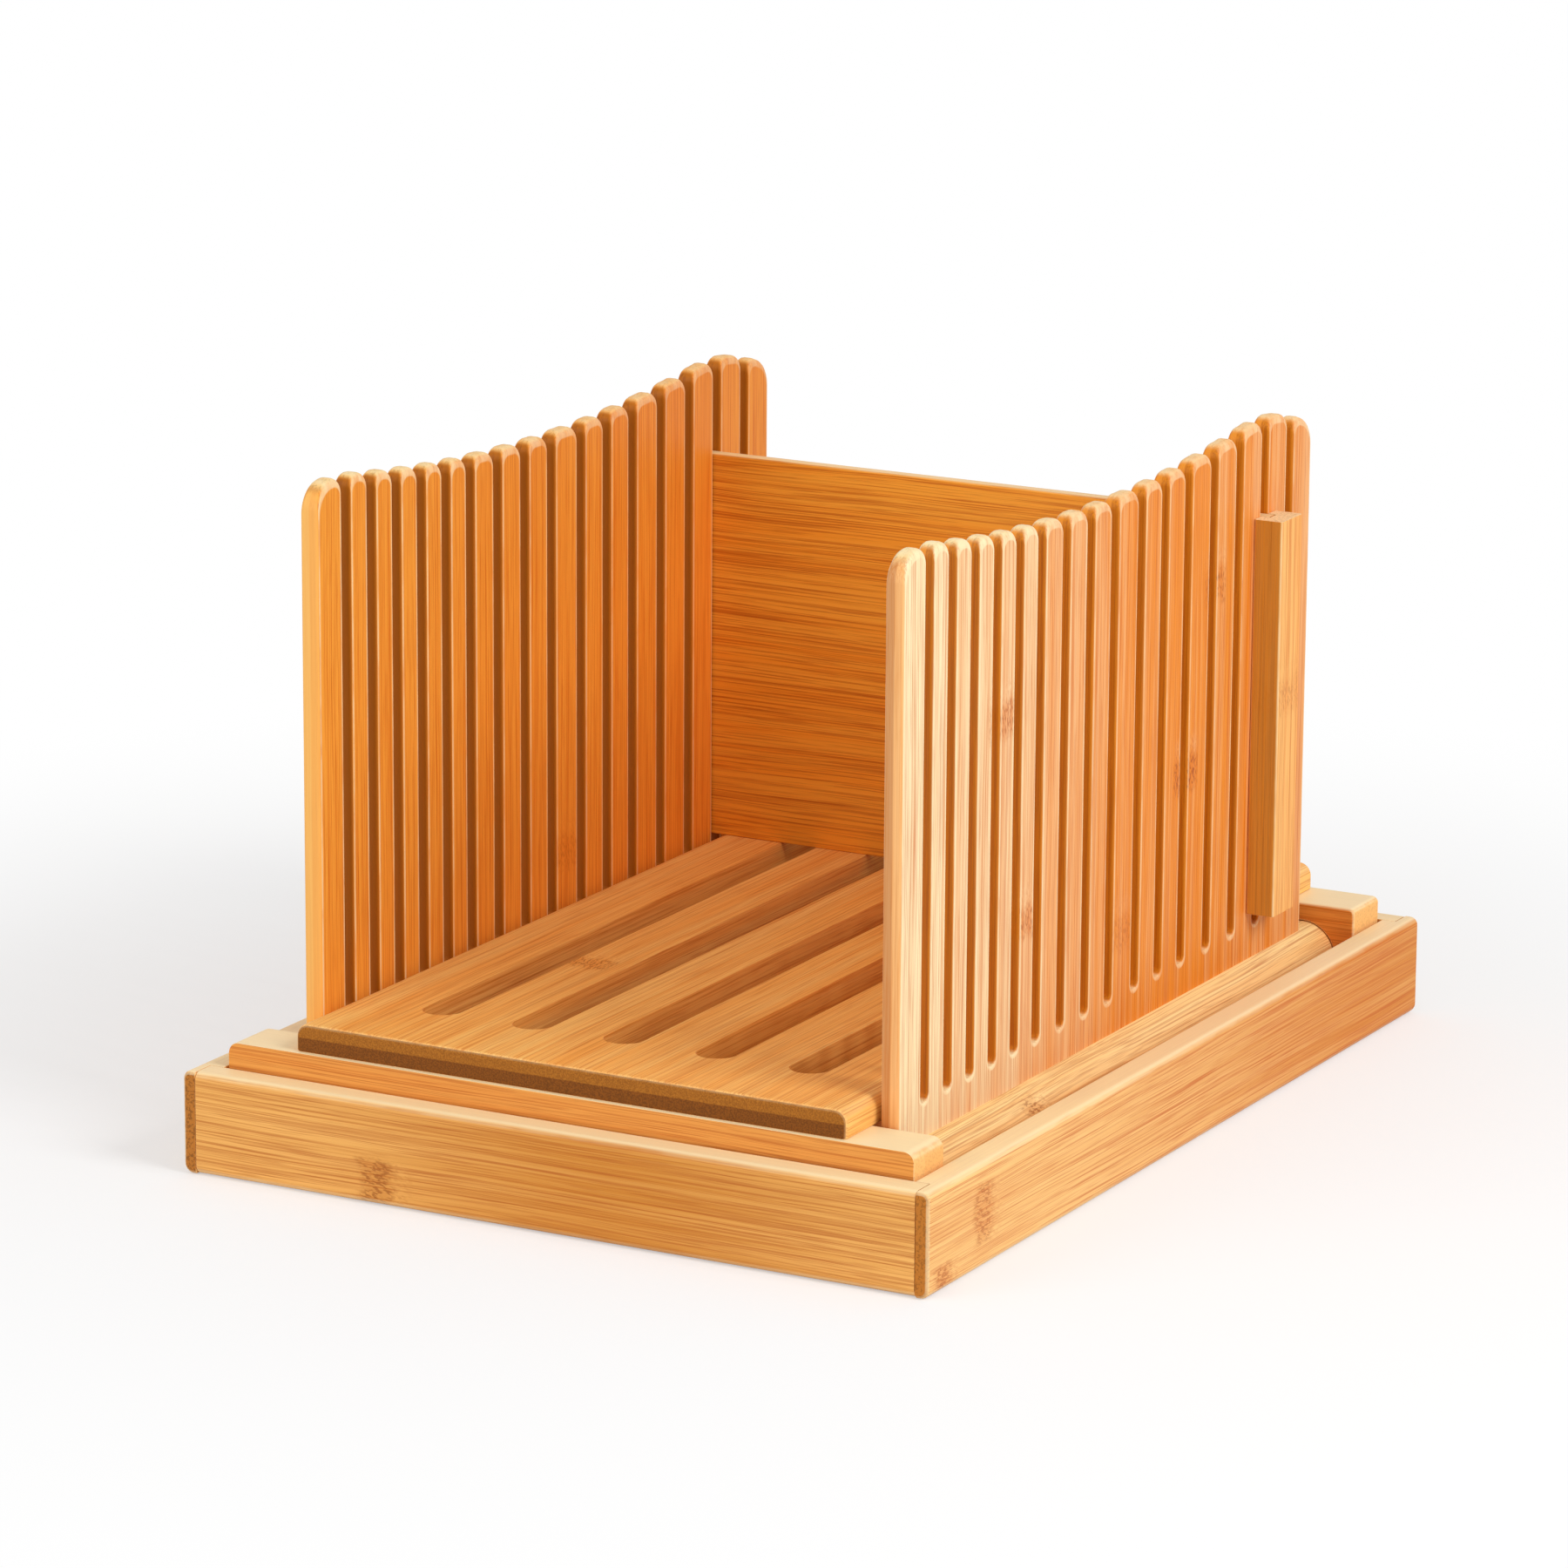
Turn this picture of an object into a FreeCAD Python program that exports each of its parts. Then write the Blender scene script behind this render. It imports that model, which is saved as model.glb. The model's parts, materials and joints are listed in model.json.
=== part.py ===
import FreeCAD, Part
import itertools
import os
import re
import Sketcher

# Bread slicer guide of laminated bamboo.
#
# A crumb tray stands on the table. In it stands a base: two rails joined by a slotted board.
# Two combs stand beside the board, each glued into a thick rod whose round ends turn in blind
# bores of the rails, so that the combs swing outward. A back plate drops into the fifteenth
# slot of both combs, and a grooved batten on the outside of each comb takes its end.
#
# Frame: millimetres, +Z up. The origin is on the table under the middle of the tray,
# X runs across the guide and Y from the front, where the slices fall, to the back.

SIZES = {
    # crumb tray
    "tray_wall": 9.0,
    "tray_height": 31.7,
    "tray_floor": 5.0,
    "tray_rebate": 4.6,
    "tray_top_round": 2.5,
    "tray_foot_round": 3.0,
    "tray_end_bevel": 1.0,
    "tray_clearance": 1.0,
    # rails of the base
    "rail_width": 19.0,
    "rail_height": 34.5,
    "rail_beyond_rod": 18.0,
    "front_rail_round": 3.5,
    "back_rail_round": 2.0,
    # slotted board
    "board_width": 184.6,
    "board_thickness": 8.5,
    "board_setback": 1.75,
    "board_side_round": 4.0,
    "board_end_bevel": 0.8,
    "crumb_slot_width": 12.4,
    "crumb_slot_spacing": 31.1,
    "crumb_slot_margin": 11.25,
    # screws that hold the board on the rails
    "screw_diameter": 4.0,
    "screw_head_diameter": 8.0,
    "screw_head_height": 2.5,
    "screw_recess": 14.0,
    "screw_bite": 6.5,
    "screw_spacing": 120.0,
    "screw_clearance": 0.1,
    # rods that carry the combs
    "rod_diameter": 22.0,
    "rod_clearance": 0.1,
    "rod_end_gap": 0.4,
    "rod_bevel": 0.6,
    "bore_depth": 8.0,
    "bore_bevel": 0.7,
    # combs
    "comb_thickness": 6.0,
    "comb_side_gap": 1.7,
    "comb_front_gap": 0.4,
    "comb_back_gap": 8.8,
    "comb_foot": 9.0,
    "comb_height": 150.8,
    "comb_hollow_radius": 835.0,
    "comb_crest_radius": 80.0,
    "comb_front_crest": 12.4,
    "comb_back_crest": 33.0,
    "slot_width": 4.8,
    "slot_below_board": 5.0,
    "finger_thin": 9.5,
    "finger_medium": 11.5,
    "finger_thick": 13.5,
    "tip_round": 4.2,
    "comb_corner_round": 9.0,
    # back plate and its battens
    "plate_height": 126.5,
    "plate_clearance": 0.3,
    "plate_top_round": 0.8,
    "batten_thickness": 9.7,
    "batten_width": 15.4,
    "batten_groove": 3.0,
    "batten_round": 1.0,
}

# Fingers of a comb from the front to the back. There is a slot after each of them but the last,
# and the stroke stands for the slot that takes the back plate.
FINGER_ORDER = """
    thick thin thin thin thin thin medium medium medium
    thick medium medium thick thick thick | thick thick
"""
FINGERS = [f"finger_{kind}" for kind in FINGER_ORDER.replace("|", " ").split()]
COMB_SLOTS = len(FINGERS) - 1
PLATE_SLOT_NUMBER = len(FINGER_ORDER.split("|")[0].split())
CRUMB_SLOTS = 5
SCREWS_PER_RAIL = 2
SIDES = {"left": -1, "right": 1}


def fingers_up_to(count):
    """Summed width of the comb's first fingers, as an expression."""
    kinds = FINGERS[:count]
    return " + ".join(f"{kinds.count(kind)} * {kind}" for kind in sorted(set(kinds)))


def slot_from_front(order):
    """Distance from the comb's front edge to the middle of a slot, counted from 1."""
    return f"({fingers_up_to(order)} + {order - 0.5} * slot_width)"


# Places worked out from the driving sizes, as expressions.
COMB_LENGTH = f"({fingers_up_to(len(FINGERS))} + {COMB_SLOTS} * slot_width)"
RAIL_SPAN = f"({COMB_LENGTH} + comb_front_gap + comb_back_gap)"
RAIL_MIDDLE = f"({RAIL_SPAN} / 2 + rail_width / 2)"
COMB_FRONT = f"(comb_front_gap - {RAIL_SPAN} / 2)"
ROD_PLACE = "(board_width / 2 + comb_side_gap + comb_thickness / 2)"
RAIL_LENGTH = f"(2 * {ROD_PLACE} + 2 * rail_beyond_rod)"
TRAY_INSIDE_X = f"({RAIL_LENGTH} + 2 * tray_clearance)"
TRAY_INSIDE_Y = f"({RAIL_SPAN} + 2 * rail_width + 2 * tray_clearance)"
BOARD_LENGTH = f"({RAIL_SPAN} + 2 * rail_width - 2 * board_setback)"
RAIL_TOP = "(tray_floor + rail_height)"
ROD_HEIGHT = "(tray_floor + rail_height / 2)"
BOARD_TOP = "(tray_floor + rail_height + board_thickness)"
BOARD_ABOVE_ROD = "(rail_height / 2 + board_thickness)"
BORE_RADIUS = "(rod_diameter / 2 + rod_clearance)"
SLOT_FLOOR = f"({BOARD_ABOVE_ROD} - slot_below_board + slot_width / 2)"
PLATE_PLACE = f"({COMB_FRONT} + {slot_from_front(PLATE_SLOT_NUMBER)})"
COMB_OUTSIDE = f"({ROD_PLACE} + comb_thickness / 2)"
PLATE_REACH = f"({COMB_OUTSIDE} + batten_groove - plate_clearance)"

doc = FreeCAD.newDocument("bread_slicer_guide")
sheet = doc.addObject("Spreadsheet::Sheet", "Sizes")
for row, (alias, value) in enumerate(SIZES.items(), start=1):
    sheet.set(f"A{row}", alias)
    sheet.set(f"B{row}", str(value))
    sheet.setAlias(f"B{row}", alias)
doc.recompute()


def cells(text):
    """Point the size names in an expression at their cells in the sheet."""
    return re.sub(r"[a-z]\w+", lambda word: f"Sizes.{word[0]}" if word[0] in SIZES else word[0], text)


def number(text):
    """Value of an expression at the present sizes, in millimetres."""
    result = sheet.evalExpression(cells(text))
    return float(getattr(result, "Value", result))


def bind(target, path, text):
    target.setExpression(path, cells(text))


def new_body(label):
    body = doc.addObject("PartDesign::Body", label)
    body.Label = label
    return body


def place(body, x="0", y="0", z="0", turn=0):
    """Stand a body at its place, turned about the vertical by a number of degrees."""
    body.Placement.Rotation = FreeCAD.Rotation(FreeCAD.Vector(0, 0, 1), turn)
    for axis, text in (("x", x), ("y", y), ("z", z)):
        bind(body, f"Placement.Base.{axis}", text)
    return body


def new_sketch(body, name, plane_role, x, y, z):
    """Empty sketch on one of the body's own planes, moved by x, y and z in its own axes."""
    sketch = body.newObject("Sketcher::SketchObject", name)
    plane = next(item for item in body.Origin.OriginFeatures if item.Role == plane_role)
    sketch.AttachmentSupport = [(plane, "")]
    sketch.MapMode = "FlatFace"
    for axis, text in (("x", x), ("y", y), ("z", z)):
        bind(sketch, f"AttachmentOffset.Base.{axis}", text)
    return sketch


def dimension(sketch, constraint, name, text):
    """Add a named dimension to a sketch and bind it to an expression."""
    index = sketch.addConstraint(constraint)
    sketch.renameConstraint(index, name)
    bind(sketch, f"Constraints.{name}", text)


def join_chain(sketch, last):
    """Join the end of each line to the start of the next, and the last one to the first."""
    for line in range(last + 1):
        following = 0 if line == last else line + 1
        sketch.addConstraint(Sketcher.Constraint("Coincident", line, 2, following, 1))


def rectangle(body, name, plane_role, wide, tall, x="0", y="0", z="0"):
    """Sketch of a rectangle about its own middle."""
    sketch = new_sketch(body, name, plane_role, x, y, z)
    half_wide = number(wide) / 2
    half_tall = number(tall) / 2
    corners = [
        FreeCAD.Vector(side_x * half_wide, side_y * half_tall, 0)
        for side_x, side_y in ((-1, -1), (1, -1), (1, 1), (-1, 1))
    ]
    for start, end in zip(corners, corners[1:] + corners[:1]):
        sketch.addGeometry(Part.LineSegment(start, end))
    join_chain(sketch, 3)
    for line in (0, 2):
        sketch.addConstraint(Sketcher.Constraint("Horizontal", line))
    for line in (1, 3):
        sketch.addConstraint(Sketcher.Constraint("Vertical", line))
    sketch.addConstraint(Sketcher.Constraint("Symmetric", 0, 1, 1, 2, -1, 1))
    dimension(sketch, Sketcher.Constraint("DistanceX", 0, 1, 0, 2, 2 * half_wide), "wide", wide)
    dimension(sketch, Sketcher.Constraint("DistanceY", 1, 1, 1, 2, 2 * half_tall), "tall", tall)
    return sketch


def circle(body, name, plane_role, radius, x="0", y="0", z="0"):
    """Sketch of a circle about its own middle."""
    sketch = new_sketch(body, name, plane_role, x, y, z)
    start_radius = number(radius)
    up = FreeCAD.Vector(0, 0, 1)
    sketch.addGeometry(Part.Circle(FreeCAD.Vector(0, 0, 0), up, start_radius))
    sketch.addConstraint(Sketcher.Constraint("Coincident", 0, 3, -1, 1))
    dimension(sketch, Sketcher.Constraint("Radius", 0, start_radius), "round", radius)
    return sketch


def long_hole(body, name, plane_role, width, length, x="0", y="0", z="0"):
    """Sketch of a slot with two round ends, lying along the sketch's own Y axis."""
    sketch = new_sketch(body, name, plane_role, x, y, z)
    radius = number(width) / 2
    reach = number(length) / 2 - radius
    right_low, right_high, left_high, left_low = [
        FreeCAD.Vector(side_x * radius, side_y * reach, 0)
        for side_x, side_y in ((1, -1), (1, 1), (-1, 1), (-1, -1))
    ]
    top = FreeCAD.Vector(0, reach + radius, 0)
    foot = FreeCAD.Vector(0, -reach - radius, 0)
    sketch.addGeometry(Part.LineSegment(right_low, right_high))
    sketch.addGeometry(Part.Arc(right_high, top, left_high))
    sketch.addGeometry(Part.LineSegment(left_high, left_low))
    sketch.addGeometry(Part.Arc(left_low, foot, right_low))
    for first, second in ((0, 1), (1, 2), (2, 3), (3, 0)):
        sketch.addConstraint(Sketcher.Constraint("Tangent", first, 2, second, 1))
    sketch.addConstraint(Sketcher.Constraint("Vertical", 0))
    sketch.addConstraint(Sketcher.Constraint("Symmetric", 0, 1, 2, 1, -1, 1))
    dimension(sketch, Sketcher.Constraint("DistanceX", 2, 1, 0, 2, 2 * radius), "wide", width)
    run = f"({length} - {width})"
    dimension(sketch, Sketcher.Constraint("DistanceY", 0, 1, 0, 2, 2 * reach), "run", run)
    return sketch


def pad(body, sketch, length, midplane=False):
    feature = body.newObject("PartDesign::Pad", f"{sketch.Name}_pad")
    feature.Profile = sketch
    feature.SideType = "Symmetric" if midplane else "One side"
    bind(feature, "Length", length)
    return feature


def pocket(body, sketch, length, reverse=False, midplane=False):
    """Cut a sketch into the body: against its plane's normal, or with it when reversed."""
    feature = body.newObject("PartDesign::Pocket", f"{sketch.Name}_pocket")
    feature.Profile = sketch
    feature.SideType = "Symmetric" if midplane else "One side"
    feature.Reversed = reverse
    bind(feature, "Length", length)
    doc.recompute()
    if feature.Shape.Volume >= feature.BaseFeature.Shape.Volume:
        raise ValueError(f"{feature.Name} cuts nothing")
    return feature


def repeat(body, feature, sketch_axis, count, pitch):
    """Repeat a cut at an even pitch along an axis of its own sketch."""
    pattern = body.newObject("PartDesign::LinearPattern", f"{feature.Name}_row")
    pattern.Originals = [feature]
    pattern.Direction = (feature.Profile[0], [sketch_axis])
    pattern.Occurrences = count
    bind(pattern, "Length", f"{count - 1} * ({pitch})")
    body.Tip = pattern
    doc.recompute()
    return pattern


def edges_where(feature, wanted):
    """Names of a feature's edges that answer a question."""
    return [f"Edge{index}" for index, edge in enumerate(feature.Shape.Edges, start=1) if wanted(edge)]


def runs_along(edge, axis):
    """Whether a straight edge runs along X (0), Y (1) or Z (2)."""
    ends = [vertex.Point for vertex in edge.Vertexes]
    if len(ends) != 2 or edge.Curve.TypeId != "Part::GeomLine":
        return False
    return abs(ends[1][axis] - ends[0][axis]) > edge.Length - 1e-6


def near(value, text):
    return abs(value - number(text)) < 1e-4


def ease(body, name, kind, size, wanted):
    """Fillet or chamfer the edges of the body's last feature that answer a question."""
    doc.recompute()
    base = body.Tip
    feature = body.newObject(f"PartDesign::{kind}", f"{body.Name}_{name}")
    feature.Base = (base, edges_where(base, wanted))
    bind(feature, "Radius" if kind == "Fillet" else "Size", size)
    body.Tip = feature
    return feature


def tray_side_wall(label, side):
    """Full-length wall, rebated at its ends for the end walls and below for the floor panel."""
    body = new_body(label)
    outline = rectangle(body, f"{label}_plan", "XY_Plane", "tray_wall", f"{TRAY_INSIDE_Y} + 2 * tray_wall")
    pad(body, outline, "tray_height")
    inner_strip = "-(tray_wall - tray_rebate) / 2"
    for end_name, sign in (("front", "-"), ("back", "+")):
        end = f"{sign}({TRAY_INSIDE_Y} + tray_wall) / 2"
        cut = rectangle(
            body, f"{label}_{end_name}_rebate", "XY_Plane", "tray_rebate", "tray_wall", x=inner_strip, y=end
        )
        pocket(body, cut, "tray_height", reverse=True)
    cut = rectangle(
        body, f"{label}_floor_rebate", "XY_Plane", "tray_rebate", TRAY_INSIDE_Y, x=inner_strip
    )
    pocket(body, cut, "tray_floor", reverse=True)
    ease(
        body, "foot_round", "Fillet", "tray_foot_round",
        lambda edge: runs_along(edge, 1) and near(edge.CenterOfMass.z, "0")
        and near(edge.CenterOfMass.x, "tray_wall / 2"),
    )
    ease(
        body, "top_round", "Fillet", "tray_top_round",
        lambda edge: runs_along(edge, 1) and near(edge.CenterOfMass.z, "tray_height")
        and near(edge.CenterOfMass.x, "tray_wall / 2"),
    )
    ease(
        body, "end_bevel", "Chamfer", "tray_end_bevel",
        lambda edge: runs_along(edge, 2) and near(edge.CenterOfMass.x, "tray_wall / 2"),
    )
    middle = f"{side} * ({TRAY_INSIDE_X} / 2 + tray_wall / 2)"
    return place(body, x=middle, turn=0 if side > 0 else 180)


def tray_end_wall(label, end):
    """Shorter wall that sits between the side walls' lips, rebated below for the floor panel."""
    body = new_body(label)
    length = f"({TRAY_INSIDE_X} + 2 * tray_rebate)"
    outline = rectangle(body, f"{label}_plan", "XY_Plane", length, "tray_wall")
    pad(body, outline, "tray_height")
    inner_strip = "(tray_wall - tray_rebate) / 2"
    cut = rectangle(body, f"{label}_floor_rebate", "XY_Plane", length, "tray_rebate", y=inner_strip)
    pocket(body, cut, "tray_floor", reverse=True)
    ease(
        body, "foot_round", "Fillet", "tray_foot_round",
        lambda edge: runs_along(edge, 0) and near(edge.CenterOfMass.z, "0")
        and near(edge.CenterOfMass.y, "-tray_wall / 2"),
    )
    ease(
        body, "top_round", "Fillet", "tray_top_round",
        lambda edge: runs_along(edge, 0) and near(edge.CenterOfMass.z, "tray_height")
        and near(edge.CenterOfMass.y, "-tray_wall / 2"),
    )
    middle = f"{end} * ({TRAY_INSIDE_Y} / 2 + tray_wall / 2)"
    return place(body, y=middle, turn=0 if end < 0 else 180)


def tray_floor_panel(label):
    body = new_body(label)
    wide = f"{TRAY_INSIDE_X} + 2 * tray_rebate"
    long = f"{TRAY_INSIDE_Y} + 2 * tray_rebate"
    pad(body, rectangle(body, f"{label}_plan", "XY_Plane", wide, long), "tray_floor")
    return place(body)


def rail(label, end, end_round):
    """Cross rail with a blind bore for each rod in its inner face and screws from below."""
    body = new_body(label)
    section = rectangle(body, f"{label}_face", "XZ_Plane", RAIL_LENGTH, "rail_height")
    pad(body, section, "rail_width", midplane=True)
    ease(
        body, "end_round", "Fillet", end_round,
        lambda edge: runs_along(edge, 1) and near(edge.CenterOfMass.z, "rail_height / 2"),
    )
    for side_name, side in SIDES.items():
        bore = circle(
            body, f"{label}_{side_name}_bore", "XZ_Plane", BORE_RADIUS,
            x=f"{side} * {ROD_PLACE}", z="-rail_width / 2",
        )
        pocket(body, bore, "bore_depth", reverse=True)
    ease(
        body, "bore_bevel", "Chamfer", "bore_bevel",
        lambda edge: edge.Curve.TypeId == "Part::GeomCircle" and near(edge.CenterOfMass.y, "rail_width / 2"),
    )
    first = f"-screw_spacing * {(SCREWS_PER_RAIL - 1) / 2}"
    for hole_name, radius, depth in (
        ("screw_hole", "screw_diameter / 2 + screw_clearance", "rail_height"),
        ("screw_recess", "screw_head_diameter / 2 + screw_clearance", "screw_recess"),
    ):
        hole = circle(
            body, f"{label}_{hole_name}", "XY_Plane", radius, x=first, z="-rail_height / 2"
        )
        cut = pocket(body, hole, depth, reverse=True)
        repeat(body, cut, "H_Axis", SCREWS_PER_RAIL, "screw_spacing")
    return place(body, y=f"{end} * {RAIL_MIDDLE}", z=ROD_HEIGHT, turn=0 if end < 0 else 180)


def slotted_board(label):
    """Board on top of the rails, with long crumb slots between them."""
    body = new_body(label)
    pad(body, rectangle(body, f"{label}_plan", "XY_Plane", "board_width", BOARD_LENGTH), "board_thickness")
    ease(
        body, "side_round", "Fillet", "board_side_round",
        lambda edge: runs_along(edge, 1) and near(edge.CenterOfMass.z, "board_thickness"),
    )
    ease(
        body, "end_bevel", "Chamfer", "board_end_bevel",
        lambda edge: runs_along(edge, 0) and near(edge.CenterOfMass.z, "board_thickness"),
    )
    slot = long_hole(
        body, f"{label}_crumb_slot", "XY_Plane", "crumb_slot_width",
        f"({RAIL_SPAN} - 2 * crumb_slot_margin)", x=f"-crumb_slot_spacing * {(CRUMB_SLOTS - 1) / 2}",
    )
    cut = pocket(body, slot, "board_thickness", reverse=True)
    repeat(body, cut, "H_Axis", CRUMB_SLOTS, "crumb_slot_spacing")
    for end_name, sign in (("front", "-"), ("back", "+")):
        pilot = circle(
            body, f"{label}_{end_name}_pilot", "XY_Plane", "screw_diameter / 2 + screw_clearance",
            x=f"-screw_spacing * {(SCREWS_PER_RAIL - 1) / 2}", y=f"{sign}{RAIL_MIDDLE}",
        )
        cut = pocket(body, pilot, "screw_bite + screw_clearance", reverse=True)
        repeat(body, cut, "H_Axis", SCREWS_PER_RAIL, "screw_spacing")
    return place(body, z=RAIL_TOP)


def wood_screw(name, x, y):
    """Flat-headed wood screw without its thread, head down in the rail's recess."""
    seat = "tray_floor + screw_recess"
    head = doc.addObject("Part::Cylinder", f"{name}_head")
    bind(head, "Radius", "screw_head_diameter / 2")
    bind(head, "Height", "screw_head_height")
    shank = doc.addObject("Part::Cylinder", f"{name}_shank")
    bind(shank, "Radius", "screw_diameter / 2")
    bind(shank, "Height", "rail_height - screw_recess + screw_bite")
    for solid, foot in ((head, f"{seat} - screw_head_height"), (shank, seat)):
        for axis, text in (("x", x), ("y", y), ("z", foot)):
            bind(solid, f"Placement.Base.{axis}", text)
    screw = doc.addObject("Part::MultiFuse", name)
    screw.Shapes = [head, shank]
    return screw


def board_screws(label):
    screws = []
    for end_name, end in (("front", -1), ("back", 1)):
        for index in range(SCREWS_PER_RAIL):
            across = f"screw_spacing * {index - (SCREWS_PER_RAIL - 1) / 2}"
            screws.append(wood_screw(f"{end_name}_screw_{index + 1}", across, f"{end} * {RAIL_MIDDLE}"))
    group = doc.addObject("Part::Compound", label)
    group.Label = label
    group.Links = screws
    return group


def rod(label, side):
    """Thick rod between the rails, with a groove along its top for the comb's foot."""
    body = new_body(label)
    section = circle(body, f"{label}_section", "XZ_Plane", "rod_diameter / 2")
    pad(body, section, f"{RAIL_SPAN} + 2 * bore_depth - 2 * rod_end_gap", midplane=True)
    ease(
        body, "end_bevel", "Chamfer", "rod_bevel",
        lambda edge: edge.Curve.TypeId == "Part::GeomCircle",
    )
    groove = rectangle(
        body, f"{label}_groove", "XY_Plane", "comb_thickness", COMB_LENGTH,
        y=f"{COMB_FRONT} + {COMB_LENGTH} / 2", z="rod_diameter / 2",
    )
    pocket(body, groove, "comb_foot")
    return place(body, x=f"{side} * {ROD_PLACE}", z=ROD_HEIGHT)


def comb_outline(body, name):
    """Side view of the comb without its slots. Its top is a long hollow arc with a crest at each end.

    The sketch's origin is at the rod's axis under the comb's front edge.
    """
    foot = "rod_diameter / 2 - comb_foot"
    hollow_place = f"{COMB_LENGTH} / 2"
    hollow_height = f"{BOARD_ABOVE_ROD} + comb_height + comb_hollow_radius"
    back_crest_place = f"{COMB_LENGTH} - comb_back_crest"
    sketch = new_sketch(body, name, "YZ_Plane", "0", "0", "0")
    length = number(COMB_LENGTH)
    radius = number("comb_crest_radius")
    hollow_radius = number("comb_hollow_radius")
    hollow = FreeCAD.Vector(number(hollow_place), number(hollow_height), 0)
    ends = []
    for crest_place, end in (("comb_front_crest", 0), (back_crest_place, length)):
        crest = FreeCAD.Vector(number(crest_place), 0, 0)
        crest.y = hollow.y - ((hollow_radius + radius) ** 2 - (hollow.x - crest.x) ** 2) ** 0.5
        joint = hollow + (crest - hollow) * (hollow_radius / (hollow_radius + radius))
        top = crest + FreeCAD.Vector(0, radius, 0)
        corner = FreeCAD.Vector(end, crest.y + (radius**2 - (crest.x - end) ** 2) ** 0.5, 0)
        ends.append((joint, top, corner))
    (front_joint, front_top, front_corner), (back_joint, back_top, back_corner) = ends
    front_foot = FreeCAD.Vector(0, number(foot), 0)
    back_foot = FreeCAD.Vector(length, number(foot), 0)
    lowest = hollow - FreeCAD.Vector(0, hollow_radius, 0)
    sketch.addGeometry(Part.LineSegment(back_foot, front_foot))
    sketch.addGeometry(Part.LineSegment(front_foot, front_corner))
    sketch.addGeometry(Part.Arc(front_joint, front_top, front_corner))
    sketch.addGeometry(Part.Arc(front_joint, lowest, back_joint))
    sketch.addGeometry(Part.Arc(back_corner, back_top, back_joint))
    sketch.addGeometry(Part.LineSegment(back_corner, back_foot))
    sketch.addConstraint(Sketcher.Constraint("Coincident", 0, 2, 1, 1))
    sketch.addConstraint(Sketcher.Constraint("Coincident", 1, 2, 2, 2))
    sketch.addConstraint(Sketcher.Constraint("Coincident", 4, 1, 5, 1))
    sketch.addConstraint(Sketcher.Constraint("Coincident", 5, 2, 0, 1))
    sketch.addConstraint(Sketcher.Constraint("Tangent", 2, 1, 3, 1))
    sketch.addConstraint(Sketcher.Constraint("Tangent", 3, 2, 4, 2))
    sketch.addConstraint(Sketcher.Constraint("Horizontal", 0))
    sketch.addConstraint(Sketcher.Constraint("Vertical", 5))
    sketch.addConstraint(Sketcher.Constraint("PointOnObject", 1, 1, -2))
    sketch.addConstraint(Sketcher.Constraint("PointOnObject", 1, 2, -2))
    sketch.addConstraint(Sketcher.Constraint("Equal", 2, 4))
    for constraint, label, text in (
        (Sketcher.Constraint("DistanceX", 0, 2, 0, 1, length), "long", COMB_LENGTH),
        (Sketcher.Constraint("DistanceY", -1, 1, 0, 2, front_foot.y), "foot", foot),
        (Sketcher.Constraint("Radius", 3, hollow_radius), "hollow", "comb_hollow_radius"),
        (Sketcher.Constraint("DistanceX", -1, 1, 3, 3, hollow.x), "hollow_place", hollow_place),
        (Sketcher.Constraint("DistanceY", -1, 1, 3, 3, hollow.y), "hollow_height", hollow_height),
        (Sketcher.Constraint("Radius", 2, radius), "crest", "comb_crest_radius"),
        (Sketcher.Constraint("DistanceX", -1, 1, 2, 3, front_top.x), "front_crest", "comb_front_crest"),
        (Sketcher.Constraint("DistanceX", -1, 1, 4, 3, back_top.x), "back_crest", back_crest_place),
    ):
        dimension(sketch, constraint, label, text)
    return sketch


def knife_slot(body, name, place_along):
    """Sketch of one open slot: straight sides over a round floor.

    Its own origin is the middle of the round floor, and it runs out past the comb's top.
    """
    sketch = new_sketch(body, name, "YZ_Plane", place_along, SLOT_FLOOR, "0")
    reach = "(comb_height + comb_crest_radius + slot_below_board)"
    radius = number("slot_width / 2")
    height = number(reach)
    left_low = FreeCAD.Vector(-radius, 0, 0)
    right_low = FreeCAD.Vector(radius, 0, 0)
    right_high = FreeCAD.Vector(radius, height, 0)
    left_high = FreeCAD.Vector(-radius, height, 0)
    sketch.addGeometry(Part.Arc(left_low, FreeCAD.Vector(0, -radius, 0), right_low))
    sketch.addGeometry(Part.LineSegment(right_low, right_high))
    sketch.addGeometry(Part.LineSegment(right_high, left_high))
    sketch.addGeometry(Part.LineSegment(left_high, left_low))
    join_chain(sketch, 3)
    sketch.addConstraint(Sketcher.Constraint("Coincident", 0, 3, -1, 1))
    sketch.addConstraint(Sketcher.Constraint("PointOnObject", 0, 1, -1))
    sketch.addConstraint(Sketcher.Constraint("PointOnObject", 0, 2, -1))
    sketch.addConstraint(Sketcher.Constraint("Vertical", 1))
    sketch.addConstraint(Sketcher.Constraint("Horizontal", 2))
    sketch.addConstraint(Sketcher.Constraint("Vertical", 3))
    dimension(sketch, Sketcher.Constraint("Radius", 0, radius), "round", "slot_width / 2")
    dimension(sketch, Sketcher.Constraint("DistanceY", 1, 1, 1, 2, height), "reach", reach)
    return sketch


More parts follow.
